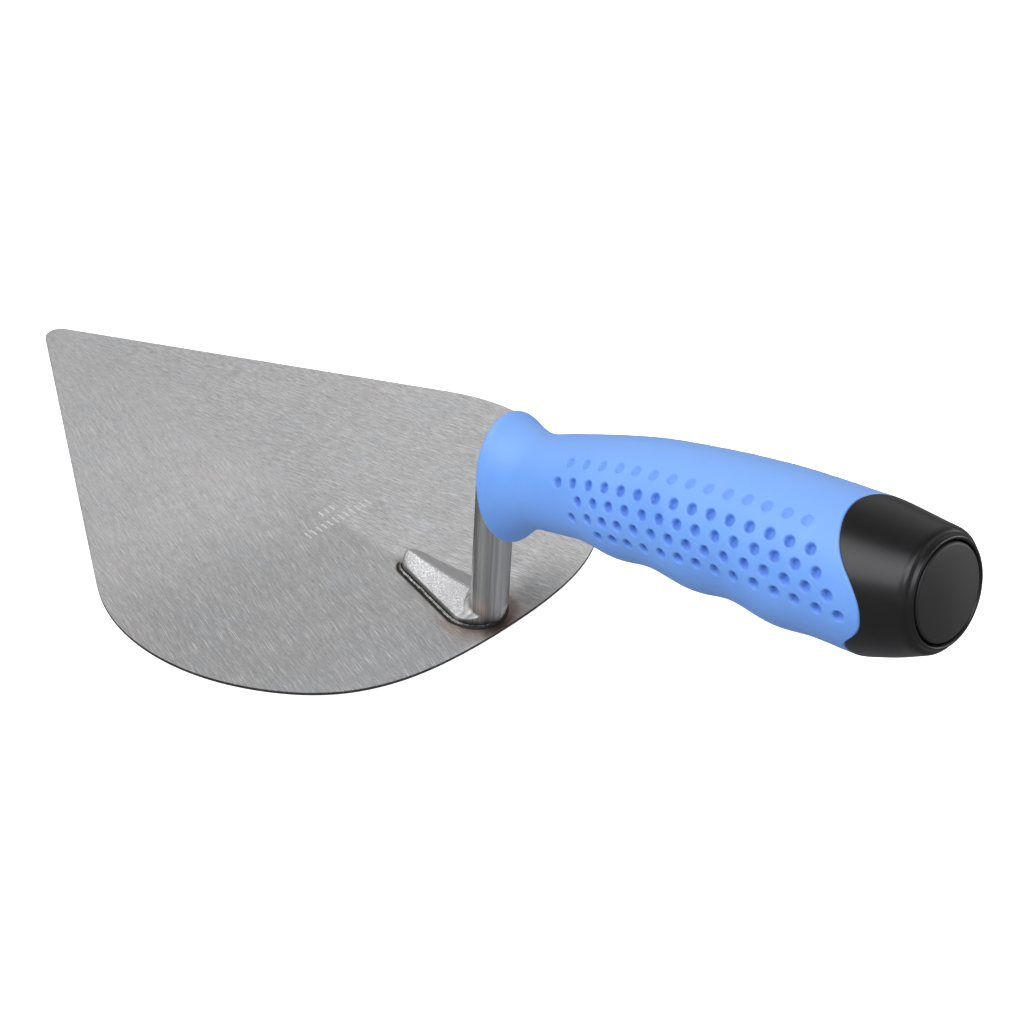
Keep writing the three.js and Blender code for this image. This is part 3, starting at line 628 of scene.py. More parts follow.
def build_nut():
    cols, chamfer, thread_inset = 192, 0.9, 0.35
    phi = even_angles(cols)
    # hexagon with corners in +-Y
    hexagon = NUT_FLATS / 2 / np.cos(phi % (math.pi / 3) - math.pi / 6)
    back = BORE_FLOOR - 0.2 - WASHER_T - NUT_T
    front = back + NUT_T
    rings = []
    for station in np.concatenate([np.linspace(back, back + chamfer, 6),
                                   np.linspace(back + chamfer, front - chamfer, 5)[1:],
                                   np.linspace(front - chamfer, front, 6)[1:]]):
        cone = 6.35 + 1.35 * min(station - back, front - station) / chamfer
        rings.append(local_point(station, np.minimum(hexagon, cone), phi))
    rings.append(local_point(front, 4.6, phi))
    for station in np.linspace(front - thread_inset, back + thread_inset, 40):
        turn = (station / NUT_PITCH - phi / (2 * np.pi)) % 1.0
        tooth = np.abs(turn - 0.5) * 2
        rings.append(local_point(station, 4.22 + 0.25 * tooth, phi))
    rings.append(local_point(back, 4.6, phi))
    verts, quads = handle_shell(rings, cols)
    make_object("nut", verts, quads, "tang_nut", sharp_degrees=35)


# ------------------------------------------------------------------ shank: foot, column, elbow and tang as one skin
def teardrop_distance(x, y):
    """signed distance to the foot's outline"""
    x, y = x - FOOT_NOSE_X, np.abs(y)
    along = FOOT_SINE * y + FOOT_COSINE * x
    to_nose = np.sqrt(x * x + y * y) - FOOT_NOSE_R
    to_heel = np.sqrt((x - FOOT_LENGTH) ** 2 + y * y) - FOOT_HEEL_R
    to_side = y * FOOT_COSINE - x * FOOT_SINE - FOOT_NOSE_R
    return np.where(along < 0, to_nose,
                    np.where(along > FOOT_COSINE * FOOT_LENGTH, to_heel, to_side))


def foot_half_width(x):
    """half width of the foot's outline, kept from falling to nothing at its two ends"""
    line = (FOOT_NOSE_R + FOOT_SINE * (x - FOOT_NOSE_X)) / FOOT_COSINE
    return np.clip(line, 3.2, FOOT_HEEL_R)


def shank_field(x, y, z):
    """roughly the signed distance to the shank"""
    to_axis, station, height, on_tang = shank_axis_distance(x, y, z)
    tang = np.where(station > THREAD_FROM, tang_taper(station), THREAD_R)
    widening = TANG_R0 + (COLUMN_R - TANG_R0) * smoothstep(ELBOW_END - 5, ELBOW_END, station)
    tang = np.where(station > ELBOW_END - 5, widening, tang)
    root = np.interp(height, ROOT[:, 0], ROOT[:, 1])
    rod = to_axis - np.where(on_tang, tang, root)
    end = TANG_END - station
    rod = np.where(on_tang, np.maximum(smooth_max(rod, end, 1.2), end), rod)
    # foot: a narrow teardrop with a ridge, the near long face falling further than the far one
    ridge = np.interp(x, RIDGE[:, 0], RIDGE[:, 1])
    slope = np.where(y < 0, (ridge - NEAR_EDGE_Z) / foot_half_width(x), FAR_SLOPE)
    roof = (z - (ridge - slope * (np.sqrt(y * y + 0.09) - 0.3))) / np.sqrt(1 + slope * slope)
    foot = smooth_max(teardrop_distance(x, y), roof, 0.35 + 1.1 * smoothstep(79.0, 74.0, x))
    # the fillet between foot and column is wide towards the blade's point and closes behind
    fillet = 3.6 - 2.9 * smoothstep(COLUMN_X - 6.5, COLUMN_X + 0.5, x)
    field = np.where(z < 30, smooth_min(foot, rod, fillet), rod)
    return np.maximum(field, BLADE_T - z)


def surface_nets(field, low, high, cell):
    """quads round field < 0: one point per crossed cell, then pulled onto the surface"""
    low = np.asarray(low, float)
    n = np.ceil((np.asarray(high) - low) / cell).astype(int) + 1
    xs, ys, zs = [low[k] + np.arange(n[k]) * cell for k in range(3)]
    samples = np.empty(n, np.float32)
    slab = 48                                    # slices sampled at once, to spare memory
    for i in range(0, n[0], slab):
        samples[i:i + slab] = field(*np.meshgrid(xs[i:i + slab], ys, zs, indexing="ij"))
    inside = samples < 0
    corners = [(x, y, z) for z in (0, 1) for y in (0, 1) for x in (0, 1)]
    count = np.zeros(n - 1, np.uint8)
    for x, y, z in corners:
        count += inside[x:n[0] - 1 + x, y:n[1] - 1 + y, z:n[2] - 1 + z]
    active = (count > 0) & (count < 8)
    cells = np.argwhere(active)
    index = np.full(n - 1, -1, np.int64)
    index[active] = np.arange(len(cells))
    # each point is the mean of the crossings on its cell's edges
    total = np.zeros((len(cells), 3))
    crossings = np.zeros(len(cells))
    values = [samples[tuple((cells + c).T)].astype(float) for c in corners]
    for a in range(8):
        for b in range(a + 1, 8):
            edge = np.array(corners[b]) - np.array(corners[a])
            if np.abs(edge).sum() != 1:
                continue
            crossed = (values[a] < 0) != (values[b] < 0)
            t = np.where(crossed, values[a] / np.where(crossed, values[a] - values[b], 1), 0)
            total += (np.array(corners[a]) + t[:, None] * edge) * crossed[:, None]
            crossings += crossed
    points = low + (cells + total / crossings[:, None]) * cell
    # one quad per crossed grid edge, between the four cells round it
    quads = []
    for axis in range(3):
        side, other = [(1, 2), (2, 0), (0, 1)][axis]
        here, ahead = [slice(None)] * 3, [slice(None)] * 3
        here[axis], ahead[axis] = slice(0, n[axis] - 1), slice(1, n[axis])
        start = inside[tuple(here)]
        edges = np.argwhere(start != inside[tuple(ahead)])
        edges = edges[(edges[:, side] > 0) & (edges[:, other] > 0)
                      & (edges[:, side] < n[side] - 1) & (edges[:, other] < n[other] - 1)]
        outward = start[tuple(edges.T)]
        around = []
        for side_step, other_step in ((-1, -1), (0, -1), (0, 0), (-1, 0)):
            neighbour = edges.copy()
            neighbour[:, side] += side_step
            neighbour[:, other] += other_step
            around.append(index[tuple(neighbour.T)])
        quad = np.stack(around, 1)
        quad[~outward] = quad[~outward][:, ::-1]
        quads.append(quad)
    nudge = 0.02
    for _ in range(3):
        slope = np.stack([field(*(points + step).T) - field(*(points - step).T)
                          for step in nudge * np.eye(3)], 1) / (2 * nudge)
        steepness = np.maximum((slope * slope).sum(1), 0.2)
        move = -(field(*points.T) / steepness)[:, None] * slope
        length = np.linalg.norm(move, axis=1, keepdims=True)
        points = points + move * np.minimum(1, 0.35 * cell / np.maximum(length, 1e-9))
    return points, np.vstack(quads)


def build_shank():
    cell = 0.38
    low, high = box_mm("shank")
    verts, quads = surface_nets(shank_field, (low[0] - 1.13, low[1] - 1.17, BLADE_T - 0.9),
                                high + 1.1, cell)
    x, y, z = verts.T
    # 1 on the column, 0 on the foot
    from_column = np.sqrt((x - COLUMN_X) ** 2 + y ** 2)
    on_column = np.where(z > 13, 1.0, smoothstep(8.3, 7.7, from_column))
    on_column = np.maximum(on_column, smoothstep(108.6, 110.6, x + 0.35 * np.abs(y) - 1.5))
    # 1 on the foot's upright wall
    wall = (smoothstep(-0.70, -0.40, teardrop_distance(x, y))
            * smoothstep(NEAR_EDGE_Z + 0.45, NEAR_EDGE_Z - 0.05, z)
            * (1 - smoothstep(104, 109, x)))
    make_object("forged_shank", verts, oriented(verts, quads), "shank",
                {"on_column": on_column, "wall": wall, "height": z})


# ------------------------------------------------------------------ weld round the foot
def teardrop_line(n):
    """n points evenly spaced round the foot's outline, their outward normals, the length to
    each and the whole length; starts behind the column, at the heel"""
    tangent = math.pi - math.acos(FOOT_SINE)

    def circle(angles, centre_x, radius):
        normals = np.column_stack([np.cos(angles), np.sin(angles)])
        return normals * radius + [centre_x, 0], normals
    heel, heel_normals = circle(np.linspace(0, tangent, 400), FOOT_HEEL_X, FOOT_HEEL_R)
    nose, nose_normals = circle(np.linspace(tangent, math.pi, 200), FOOT_NOSE_X, FOOT_NOSE_R)
    side = heel[-1] + (nose[0] - heel[-1]) * np.linspace(0, 1, 400)[1:, None]
    points = np.vstack([heel, side, nose[1:]])
    normals = np.vstack([heel_normals, np.repeat(nose_normals[:1], len(side), 0),
                         nose_normals[1:]])
    points = np.vstack([points, (points * [1, -1])[::-1][1:]])
    normals = np.vstack([normals, (normals * [1, -1])[::-1][1:]])
    lengths = path_length(points)
    at = np.arange(n) / n * lengths[-1]
    points, normals = [np.stack([np.interp(at, lengths, table[:, k]) for k in range(2)], 1)
                       for table in (points, normals)]
    return points, normals, at, lengths[-1]


def wobble(at, length, seed, terms=24, low=2):
    """smooth closed noise along a loop, about -1..1"""
    rng = np.random.default_rng(seed)
    out = np.zeros_like(at)
    power = 0.0
    for k in range(terms):
        waves = low + k * 2
        height = 1.0 / (1 + 0.35 * k) ** 0.8
        out += height * np.sin(2 * np.pi * waves * at / length + rng.uniform(0, 2 * np.pi))
        power += height * height
    return out / math.sqrt(power / 2) / 1.6


def build_weld():
    n, top_count, bottom_count = 900, 21, 4
    gap = 0.04                                   # between the foot's wall and the bead
    line, normals, at, length = teardrop_line(n)
    x = line[:, 0]
    rear = smoothstep(107.5, 111.5, x)
    nose = (1 - smoothstep(74.5, 77.0, x)) * smoothstep(-0.62, -0.25, normals[:, 1])
    width = (WELD_WIDTH + 0.13 * wobble(at, length, 3) - 0.70 * nose
             - 0.40 * smoothstep(104.5, 109.0, x) - 0.20 * smoothstep(110.5, 115.5, x))
    height = WELD_HEIGHT + 0.10 * wobble(at, length, 5, 30, 3) + 0.10 * rear - 0.45 * nose
    ripple = 0.05 * np.sin(2 * np.pi * at / 1.35 + 1.3 * wobble(at, length, 8, 8, 1))
    crest = 0.37 + 0.05 * wobble(at, length, 9, 18, 3)
    # cross-section: inner crease, thin crest, outer crease, then back along the blade
    share = np.linspace(0, 1, top_count + 1)[:-1]
    from_crest = share[None, :] - crest[:, None]
    ridge = np.exp(-(from_crest / 0.17) ** 2)
    arch = np.sin(np.pi * share)
    rise = (height[:, None] * (0.36 * arch ** 0.6 + 0.62 * ridge * arch ** 0.35)
            + ripple[:, None] * ridge)
    rise = np.maximum(rise, 0)
    rise[:, 0] = 0.50                            # against the foot's wall
    shares = np.concatenate([share, np.linspace(1, 0, bottom_count)])
    offset = gap + width[:, None] * shares
    z = np.concatenate([BLADE_T + 0.01 + rise, np.full((n, bottom_count), BLADE_T + 0.004)], 1)
    section = np.stack([line[:, None, 0] + normals[:, None, 0] * offset,
                        line[:, None, 1] + normals[:, None, 1] * offset, z], -1)
    rows = top_count + bottom_count
    verts = section.transpose(1, 0, 2).reshape(-1, 3)
    across = np.concatenate([np.abs(from_crest), np.ones((n, bottom_count))], 1).T
    along, rear, nose = [np.broadcast_to(values, (rows, n)) for values in (at, rear, nose)]
    make_object("weld", verts, oriented(verts, grid_faces(rows, n, True)), "weld_bead",
                {"across": across, "along": along, "rear": rear, "nose": nose})


# ------------------------------------------------------------------ blade
def blade_outline(inset):
    """the +Y half of the outline from the point to the middle of the heel, moved inwards"""
    tip = [[TIP_R - TIP_R * math.cos(a), TIP_R * math.sin(a)]
           for a in np.linspace(0, math.pi / 2 - HALF_ANGLE, 26)]
    # the lead-in point and the last one only steer the curve's ends
    lead = SHOULDER[0] - 9 * np.array([1, math.tan(HALF_ANGLE)])
    curve = catmull(np.vstack([lead, SHOULDER]), 12)[12:-12]
    start, end = np.array(tip[-1]), curve[0]
    straight = [start + (end - start) * t for t in np.linspace(0, 1, 70)[1:-1]]
    line = np.vstack([tip, straight, curve, [BLADE_LENGTH, 0]])
    line[:, 0] += TIP_X
    line[:, 1] *= HALF_WIDTH / line[:, 1].max()
    tangent = np.gradient(line, axis=0)
    tangent[0], tangent[-1] = [0, 1], [0, -1]
    tangent /= np.linalg.norm(tangent, axis=1, keepdims=True)
    line = line + np.stack([tangent[:, 1], -tangent[:, 0]], 1) * inset
    line[0, 1] = line[-1, 1] = 0
    return line


# rings of the blade's edge, from the underside up to the top face: inset, z
BLADE_RINGS = [(0.9, 0.0), (0.24, 0.0), (0.10, 0.05), (0.0, 0.16), (0.0, BLADE_T - 0.07),
               (0.03, BLADE_T - 0.02), (0.09, BLADE_T), (0.9, BLADE_T)]
LANES = 24                                       # quads across each flat face


def fill_flat(points, first, n, facing_up):
    """faces of a flat side, in rows across the blade between mirrored points of the ring that
    starts at first; adds the points between them"""
    faces, previous = [], []
    last = n // 2
    for i in range(last + 1):
        if i in (0, last):
            row = [first + i]
        else:
            left, right = first + i, first + n - i
            row = [left, *range(len(points), len(points) + LANES - 1), right]
            start, end = points[left], points[right]
            points += [start + (end - start) * (k / LANES) for k in range(1, LANES)]
        if len(previous) == 1:
            faces += [[previous[0], row[k], row[k + 1]] for k in range(LANES)]
        elif previous and len(row) == 1:
            faces += [[row[0], previous[k + 1], previous[k]] for k in range(LANES)]
        elif previous:
            faces += [[previous[k], row[k], row[k + 1], previous[k + 1]] for k in range(LANES)]
        previous = row

    def turned(face):
        a, b, c = [points[k] for k in face[:3]]
        return face if (np.cross(b - a, c - b)[2] > 0) == facing_up else face[::-1]
    return [turned(face) for face in faces]


def build_blade():
    rings = []
    for inset, z in BLADE_RINGS:
        line = blade_outline(inset)
        full = np.vstack([line, (line[1:-1] * [1, -1])[::-1]])
        rings.append(np.column_stack([full, np.full(len(full), z)]))
    n = len(rings[0])
    points = list(np.vstack(rings))
    faces = grid_faces(len(rings), n, False)[:, ::-1].tolist()
    faces += fill_flat(points, 0, n, facing_up=False)
    faces += fill_flat(points, (len(rings) - 1) * n, n, facing_up=True)
    make_object("blade_plate", np.array(points), faces, "blade",
                sharp_degrees=38)


# ------------------------------------------------------------------ shader graph helpers
class Value:
    """a node's output; + - * / on it add math nodes"""

    def __init__(self, graph, socket):
        self.graph, self.socket = graph, socket

    def output(self, key):
        """another output of the same node"""
        return Value(self.graph, self.socket.node.outputs[key])


def math_operator(operation, swapped):
    def apply(self, other):
        pair = (other, self) if swapped else (self, other)
        return self.graph.math(operation, *pair)
    return apply


for word, operation in (("add", "ADD"), ("sub", "SUBTRACT"), ("mul", "MULTIPLY"),
                        ("truediv", "DIVIDE")):
    setattr(Value, f"__{word}__", math_operator(operation, swapped=False))
    setattr(Value, f"__r{word}__", math_operator(operation, swapped=True))


class Graph:
    """the node tree of a material or world"""

    def __init__(self, owner):
        owner.use_nodes = True
        self.tree = owner.node_tree
        self.tree.nodes.clear()

    def link(self, value, socket):
        if isinstance(value, Value):
            self.tree.links.new(value.socket, socket)
        elif isinstance(value, tuple):           # colours may leave out their alpha
            socket.default_value = (*value, 1.0)[:len(socket.default_value)]
        else:
            socket.default_value = value

    def node(self, kind, inputs=None, output=0, **settings):
        node = self.tree.nodes.new("ShaderNode" + kind)
        for key, setting in settings.items():
            setattr(node, key, setting)
        for key, value in (inputs or {}).items():
            self.link(value, node.inputs[key])
        return Value(self, node.outputs[output])

    def finish(self, kind, shader):
        self.link(shader, self.tree.nodes.new(kind).inputs[0])

    def math(self, operation, *operands, clamp=False):
        return self.node("Math", dict(enumerate(operands)), operation=operation,
                         use_clamp=clamp)

    def max(self, first, second):
        return self.math("MAXIMUM", first, second)

    def vector_math(self, operation, first, second, output="Vector"):
        return self.node("VectorMath", {0: first, 1: second}, output, operation=operation)

    def xyz(self, vector):
        parts = self.node("SeparateXYZ", {0: vector})
        return [parts.output(k) for k in range(3)]

    def combine(self, x, y, z):
        return self.node("CombineXYZ", {0: x, 1: y, 2: z})

    def noise(self, vector, scale=1.0, detail=2.0, rough=0.5):
        return self.node("TexNoise", {"Vector": vector, "Scale": scale, "Detail": detail,
                                      "Roughness": rough})

    def voronoi(self, vector, scale):
        return self.node("TexVoronoi", {"Vector": vector, "Scale": scale})

    def remap(self, value, span, to=(0.0, 1.0), smooth=True):
        """carries span to another range, held at its ends"""
        return self.node("MapRange", {"Value": value, "From Min": span[0], "From Max": span[1],
                                      "To Min": to[0], "To Max": to[1]},
                         interpolation_type="SMOOTHSTEP" if smooth else "LINEAR")

    def fade(self, value, span):
        """1 at the span's start, 0 at its end"""
        return self.remap(value, span, to=(1.0, 0.0))

    def mix(self, share, first, second, blend="MIX"):
        return self.node("Mix", {0: share, 6: first, 7: second}, 2, data_type="RGBA",
                         blend_type=blend)

    def mix_number(self, share, first, second):
        return self.node("Mix", {0: share, 2: first, 3: second}, 0, data_type="FLOAT")

    def mix_vector(self, share, first, second):
        return self.node("Mix", {0: share, 4: first, 5: second}, 1, data_type="VECTOR")

    def mix_shader(self, share, first, second):
        return self.node("MixShader", {0: share, 1: first, 2: second})

    def shade(self, colour, factor):
        """colour times a grey factor"""
        return self.mix(1.0, colour, self.combine(factor, factor, factor), blend="MULTIPLY")


class Material(Graph):
    def __init__(self, name):
        self.material = bpy.data.materials.new(name)
        super().__init__(self.material)
        place = self.node("TexCoord", output="Object")
        self.mm = self.node("VectorMath", {0: place, "Scale": 1000.0}, "Vector",
                            operation="SCALE")

    def attribute(self, name):
        return self.node("Attribute", output="Fac", attribute_name=name)

    def geometry(self, output):
        return self.node("NewGeometry", output=output)

    def bump(self, height, strength, distance_mm):
        return self.node("Bump", {"Strength": strength, "Distance": distance_mm * MM,
                                  "Height": height})

    def principled(self, inputs):
        self.finish("ShaderNodeOutputMaterial", self.node("BsdfPrincipled", inputs))
        return self.material

    def from_foot(self, x, y):
        """about the distance outside the foot's outline, mm: circles of growing radius"""
        x, y = x - FOOT_NOSE_X, self.math("ABSOLUTE", y)
        share = self.math("DIVIDE", x * FOOT_COSINE + y * FOOT_SINE,
                          FOOT_COSINE * FOOT_LENGTH, clamp=True)
        squares = (self.math("POWER", x - share * FOOT_LENGTH, 2.0)
                   + self.math("POWER", y, 2.0))
        return (self.math("SQRT", squares)
                - (FOOT_NOSE_R + share * (FOOT_HEEL_R - FOOT_NOSE_R)))


def srgb(*channels):
    """linear colour from 0..255 sRGB"""
    parts = [c / 255 for c in channels]
    return tuple(c / 12.92 if c <= 0.04045 else ((c + 0.055) / 1.055) ** 2.4 for c in parts)


# ------------------------------------------------------------------ blade steel
# painted reflection: each brushed half is painted at the brightness its brushing shows under the light
FAR_LEVEL, NEAR_LEVEL = 0.705, 0.63              # brightness of the +Y and -Y halves
FAR_ANGLE, NEAR_ANGLE = 13.0, -12.5              # their brushing directions, degrees from +X


def etched_ticks(mat, x, y, x_span, y_span, pitch=2.5, width=0.7):
    """a row of tick marks along Y, with softened edges"""
    x_soft, y_soft, tick_soft = 0.12, 0.05, 0.05
    cycle = mat.math("FRACT", (y - y_span[0]) / pitch)
    half = width / pitch / 2
    tick = mat.fade(mat.math("ABSOLUTE", cycle - 0.5), (half - tick_soft, half + tick_soft))

    def window(value, span, soft):
        return (mat.remap(value, (span[0] - soft, span[0] + soft))
                * mat.fade(value, (span[1] - soft, span[1] + soft)))
    return tick * (window(x, x_span, x_soft) * window(y, y_span, y_soft))


def blade_material():
    mat = Material("brushed_blade_steel")
    x, y, z = mat.xyz(mat.mm)
    # the two halves are brushed in two directions that meet on the centreline; side is 0 on the
    # near half, 1 on the far one; the change is sharp near the foot, soft towards the point
    blur = mat.remap(x, (-110, 40), to=(30.0, 2.2))
    wander = (mat.noise(mat.mm, scale=0.03, detail=2) - 0.5) * 6.0
    side = mat.remap((y + wander) / blur, (-1.0, 1.0))
    warped_y = y + (mat.noise(mat.mm, scale=0.02, detail=1) - 0.5) * 3.0

    def strokes(angle, along, across, seed, detail=3.0, rough=0.6):
        """noise with its own scale per mm along and across the brushing angle"""
        cosine, sine = math.cos(math.radians(angle)), math.sin(math.radians(angle))
        forward = x * cosine + warped_y * sine
        sideways = warped_y * cosine - x * sine
        return mat.noise(mat.combine(forward * along, sideways * across, seed), 1.0,
                         detail, rough)

    def contrast(value, gain):
        return (value - 0.5) * gain + 0.5

    def marks(near, far, span, detail=1.0):
        """separate strokes: only the noise beyond span shows"""
        near, far = [mat.remap(strokes(*shape, detail=detail, rough=0.4), span)
                     for shape in (near, far)]
        return mat.mix_number(side, near, far)

    # strokes as (angle, along, across, seed)
    fine = mat.mix_number(
        side, strokes(NEAR_ANGLE, 0.30, 3.4, 7.0, detail=4.0, rough=0.72),
        contrast(strokes(FAR_ANGLE, 0.27, 2.9, 1.0, detail=4.0, rough=0.72), gain=1.5))
    weave = mat.mix_number(side, contrast(strokes(NEAR_ANGLE + 12, 0.46, 2.6, 8.0), gain=0.8),
                           contrast(strokes(FAR_ANGLE - 13, 0.42, 2.3, 2.0), gain=1.3))
    broad = mat.mix_number(side, strokes(NEAR_ANGLE - 2, 0.05, 0.72, 9.0),
                           strokes(FAR_ANGLE - 3, 0.055, 0.80, 3.0))
    long_scratches = marks((NEAR_ANGLE - 5, 0.095, 4.6, 27.0), (FAR_ANGLE + 3, 0.100, 3.8, 21.0),
                           span=(0.62, 0.68))
    short_scratches = marks((NEAR_ANGLE + 3, 0.16, 4.6, 47.0), (FAR_ANGLE - 4, 0.16, 4.2, 41.0),
                            span=(0.62, 0.70))
    scratches = mat.max(long_scratches, short_scratches * 0.8)
    darks = marks((NEAR_ANGLE + 5, 0.07, 2.4, 37.0), (FAR_ANGLE - 6, 0.07, 2.4, 33.0),
                  span=(0.33, 0.25), detail=1.5)
    cloud = mat.noise(mat.mm, scale=0.022, detail=3, rough=0.55)
    grit = mat.noise(mat.mm, scale=2.3, detail=3, rough=0.6)

    # brightness: each layer scales it about 1, then the marks lift or lower it. The two halves' levels are painted
    # reflection: each half is painted as bright as its brushing looks under the light, and the near half is painted
    # brighter towards the point
    level = mat.mix_number(side, NEAR_LEVEL * mat.remap(x, (-10, 60), to=(1.22, 0.91)),
                           FAR_LEVEL)
    level *= mat.remap(cloud, (0.2, 0.8), to=(0.94, 1.06), smooth=False)
    level *= 0.80 + broad * 0.40
    level *= 0.44 + fine * 1.12
    level *= 0.70 + weave * 0.60
    level *= 0.89 + grit * 0.22
    level = level + scratches * 0.34 - darks * 0.06
    # seen in another surface the plate is painted dimmer: a painted darkening of its reflection in the column and
    # cap
    level *= 1.0 - mat.node("LightPath", output="Is Glossy Ray") * 0.76
    base = mat.shade((1.0, 1.0, 1.004), level)
    # faint warm and cool blotches
    tint = mat.noise(mat.vector_math("ADD", mat.mm, (40.0, 11.0, 0.0)), scale=0.045, detail=3,
                     rough=0.6)
    base = mat.mix(mat.remap(tint, (0.55, 0.72)) * 0.10, base, (0.95, 0.72, 0.74))
    base = mat.mix(mat.remap(tint, (0.45, 0.28)) * 0.10, base, (0.66, 0.74, 0.92))

    # round the weld, on the upper face only: distance is pushed out of reach on the underside
    upper = mat.remap(z, (0.5, 0.9))
    from_foot = mat.from_foot(x, y) + (1.0 - upper) * 60.0
    # a wide painted shade behind the foot and column, where the handle's shade falls on the plate
    dim = mat.remap(from_foot, (4.0, 42.0), to=(0.44, 1.0))
    dim_share = mat.remap(x, (100, 114)) * mat.remap(y, (-10, 0), to=(0.15, 1.0))
    base = mat.shade(base, mat.mix_number(dim_share, 1.0, dim))
    # heat tint with a ragged edge, strongest behind the column, and a spot at the nose
    ragged = (mat.noise(mat.mm, scale=0.35, detail=4, rough=0.65) - 0.5) * 5.0
    reach = mat.remap(x, (84, 118), to=(3.0, 11.5))
    heat = mat.fade(from_foot + ragged, (2.2, reach))
    heat *= (mat.remap(x, (86, 112), to=(0.22, 1.0))
             * mat.remap(y, (-3.0, 13.0), to=(1.0, 0.40)))
    to_nose = mat.vector_math("DISTANCE", mat.combine(x, y, 0.0), (71.6, -0.4, 0.0), "Value")
    heat = mat.max(heat, mat.fade(to_nose, (0.6, 3.2)) * 0.60) * upper
    base = mat.mix(heat * mat.remap(y, (-10.0, -2.0), to=(0.46, 0.66)), base,
                   (0.42, 0.27, 0.19))
    # smoke stain, close in, mostly behind the column
    smoke = mat.fade(from_foot + ragged * 0.8, (2.4, mat.remap(x, (104, 118), to=(3.2, 7.0))))
    smoke *= (mat.remap(x, (100, 117), to=(0.10, 1.0))
              * (mat.remap(y, (-9.0, -1.5), to=(0.12, 1.0))
                 * mat.remap(y, (1.0, 9.0), to=(1.0, 0.55))))
    base = mat.mix(smoke * 0.90, base, (0.062, 0.046, 0.038))
    # blackened line right at the seam, faint at the nose
    rim = 2.45 - mat.remap(x, (105.0, 109.5)) * 0.65
    seam = mat.fade(from_foot, (rim - 0.6, rim))
    off_nose = mat.max(mat.remap(x, (73.8, 76.5)), mat.remap(y, (-0.6, -2.2)))
    seam *= 0.12 + off_nose * 0.88
    base = mat.mix(seam * 0.90, base, (0.020, 0.018, 0.017))

    # light etched scale on the top face: two rows of tick marks, unevenly worn
    top = mat.remap(z, (BLADE_T - 0.05, BLADE_T - 0.01))
    etch = mat.max(etched_ticks(mat, x, y, (38.6, 42.0), (-15.0, 15.0)),
                   etched_ticks(mat, x, y, (33.0, 35.8), (-3.75, 3.75)))
    etch = etch * top * mat.remap(mat.noise(mat.mm, scale=2.2, detail=3, rough=0.7),
                                  (0.25, 0.6), to=(0.45, 1.0))
    base = mat.mix(etch * 0.50, base, (0.97, 0.97, 0.97))
    # cut edge: painted dark, a painted shade for the thin side face that lies in shadow, with shear marks
    facing = mat.math("ABSOLUTE", mat.xyz(mat.geometry("True Normal"))[2])
    shear = mat.noise(mat.combine(x * 0.9, y * 0.9, z * 0.6), detail=3, rough=0.6)
    base = mat.mix(mat.fade(facing, (0.25, 0.85)) * 0.93, base,
                   mat.shade((1, 1, 1), mat.remap(shear, (0.3, 0.7), to=(0.045, 0.13))))

    # scratches are glossier, the scale and the burnt parts duller
    rough = 0.36 + fine * 0.16 - scratches * 0.08
    rough = mat.mix_number(etch, rough, 0.62)
    rough = mat.mix_number(mat.max(seam, smoke), rough, 0.6)
    near_way, far_way = [(math.cos(math.radians(a)), math.sin(math.radians(a)), 0)
                         for a in (NEAR_ANGLE, FAR_ANGLE)]
    height = fine * 0.7 + broad * 0.5 + scratches * -0.5 + etch * -0.6
    return mat.principled({
        "Base Color": base, "Metallic": mat.mix_number(etch, 1.0, 0.55), "Roughness": rough,
        "Anisotropic": 0.45, "Tangent": mat.mix_vector(side, near_way, far_way),
        "Normal": mat.bump(height, strength=0.35, distance_mm=0.035)})


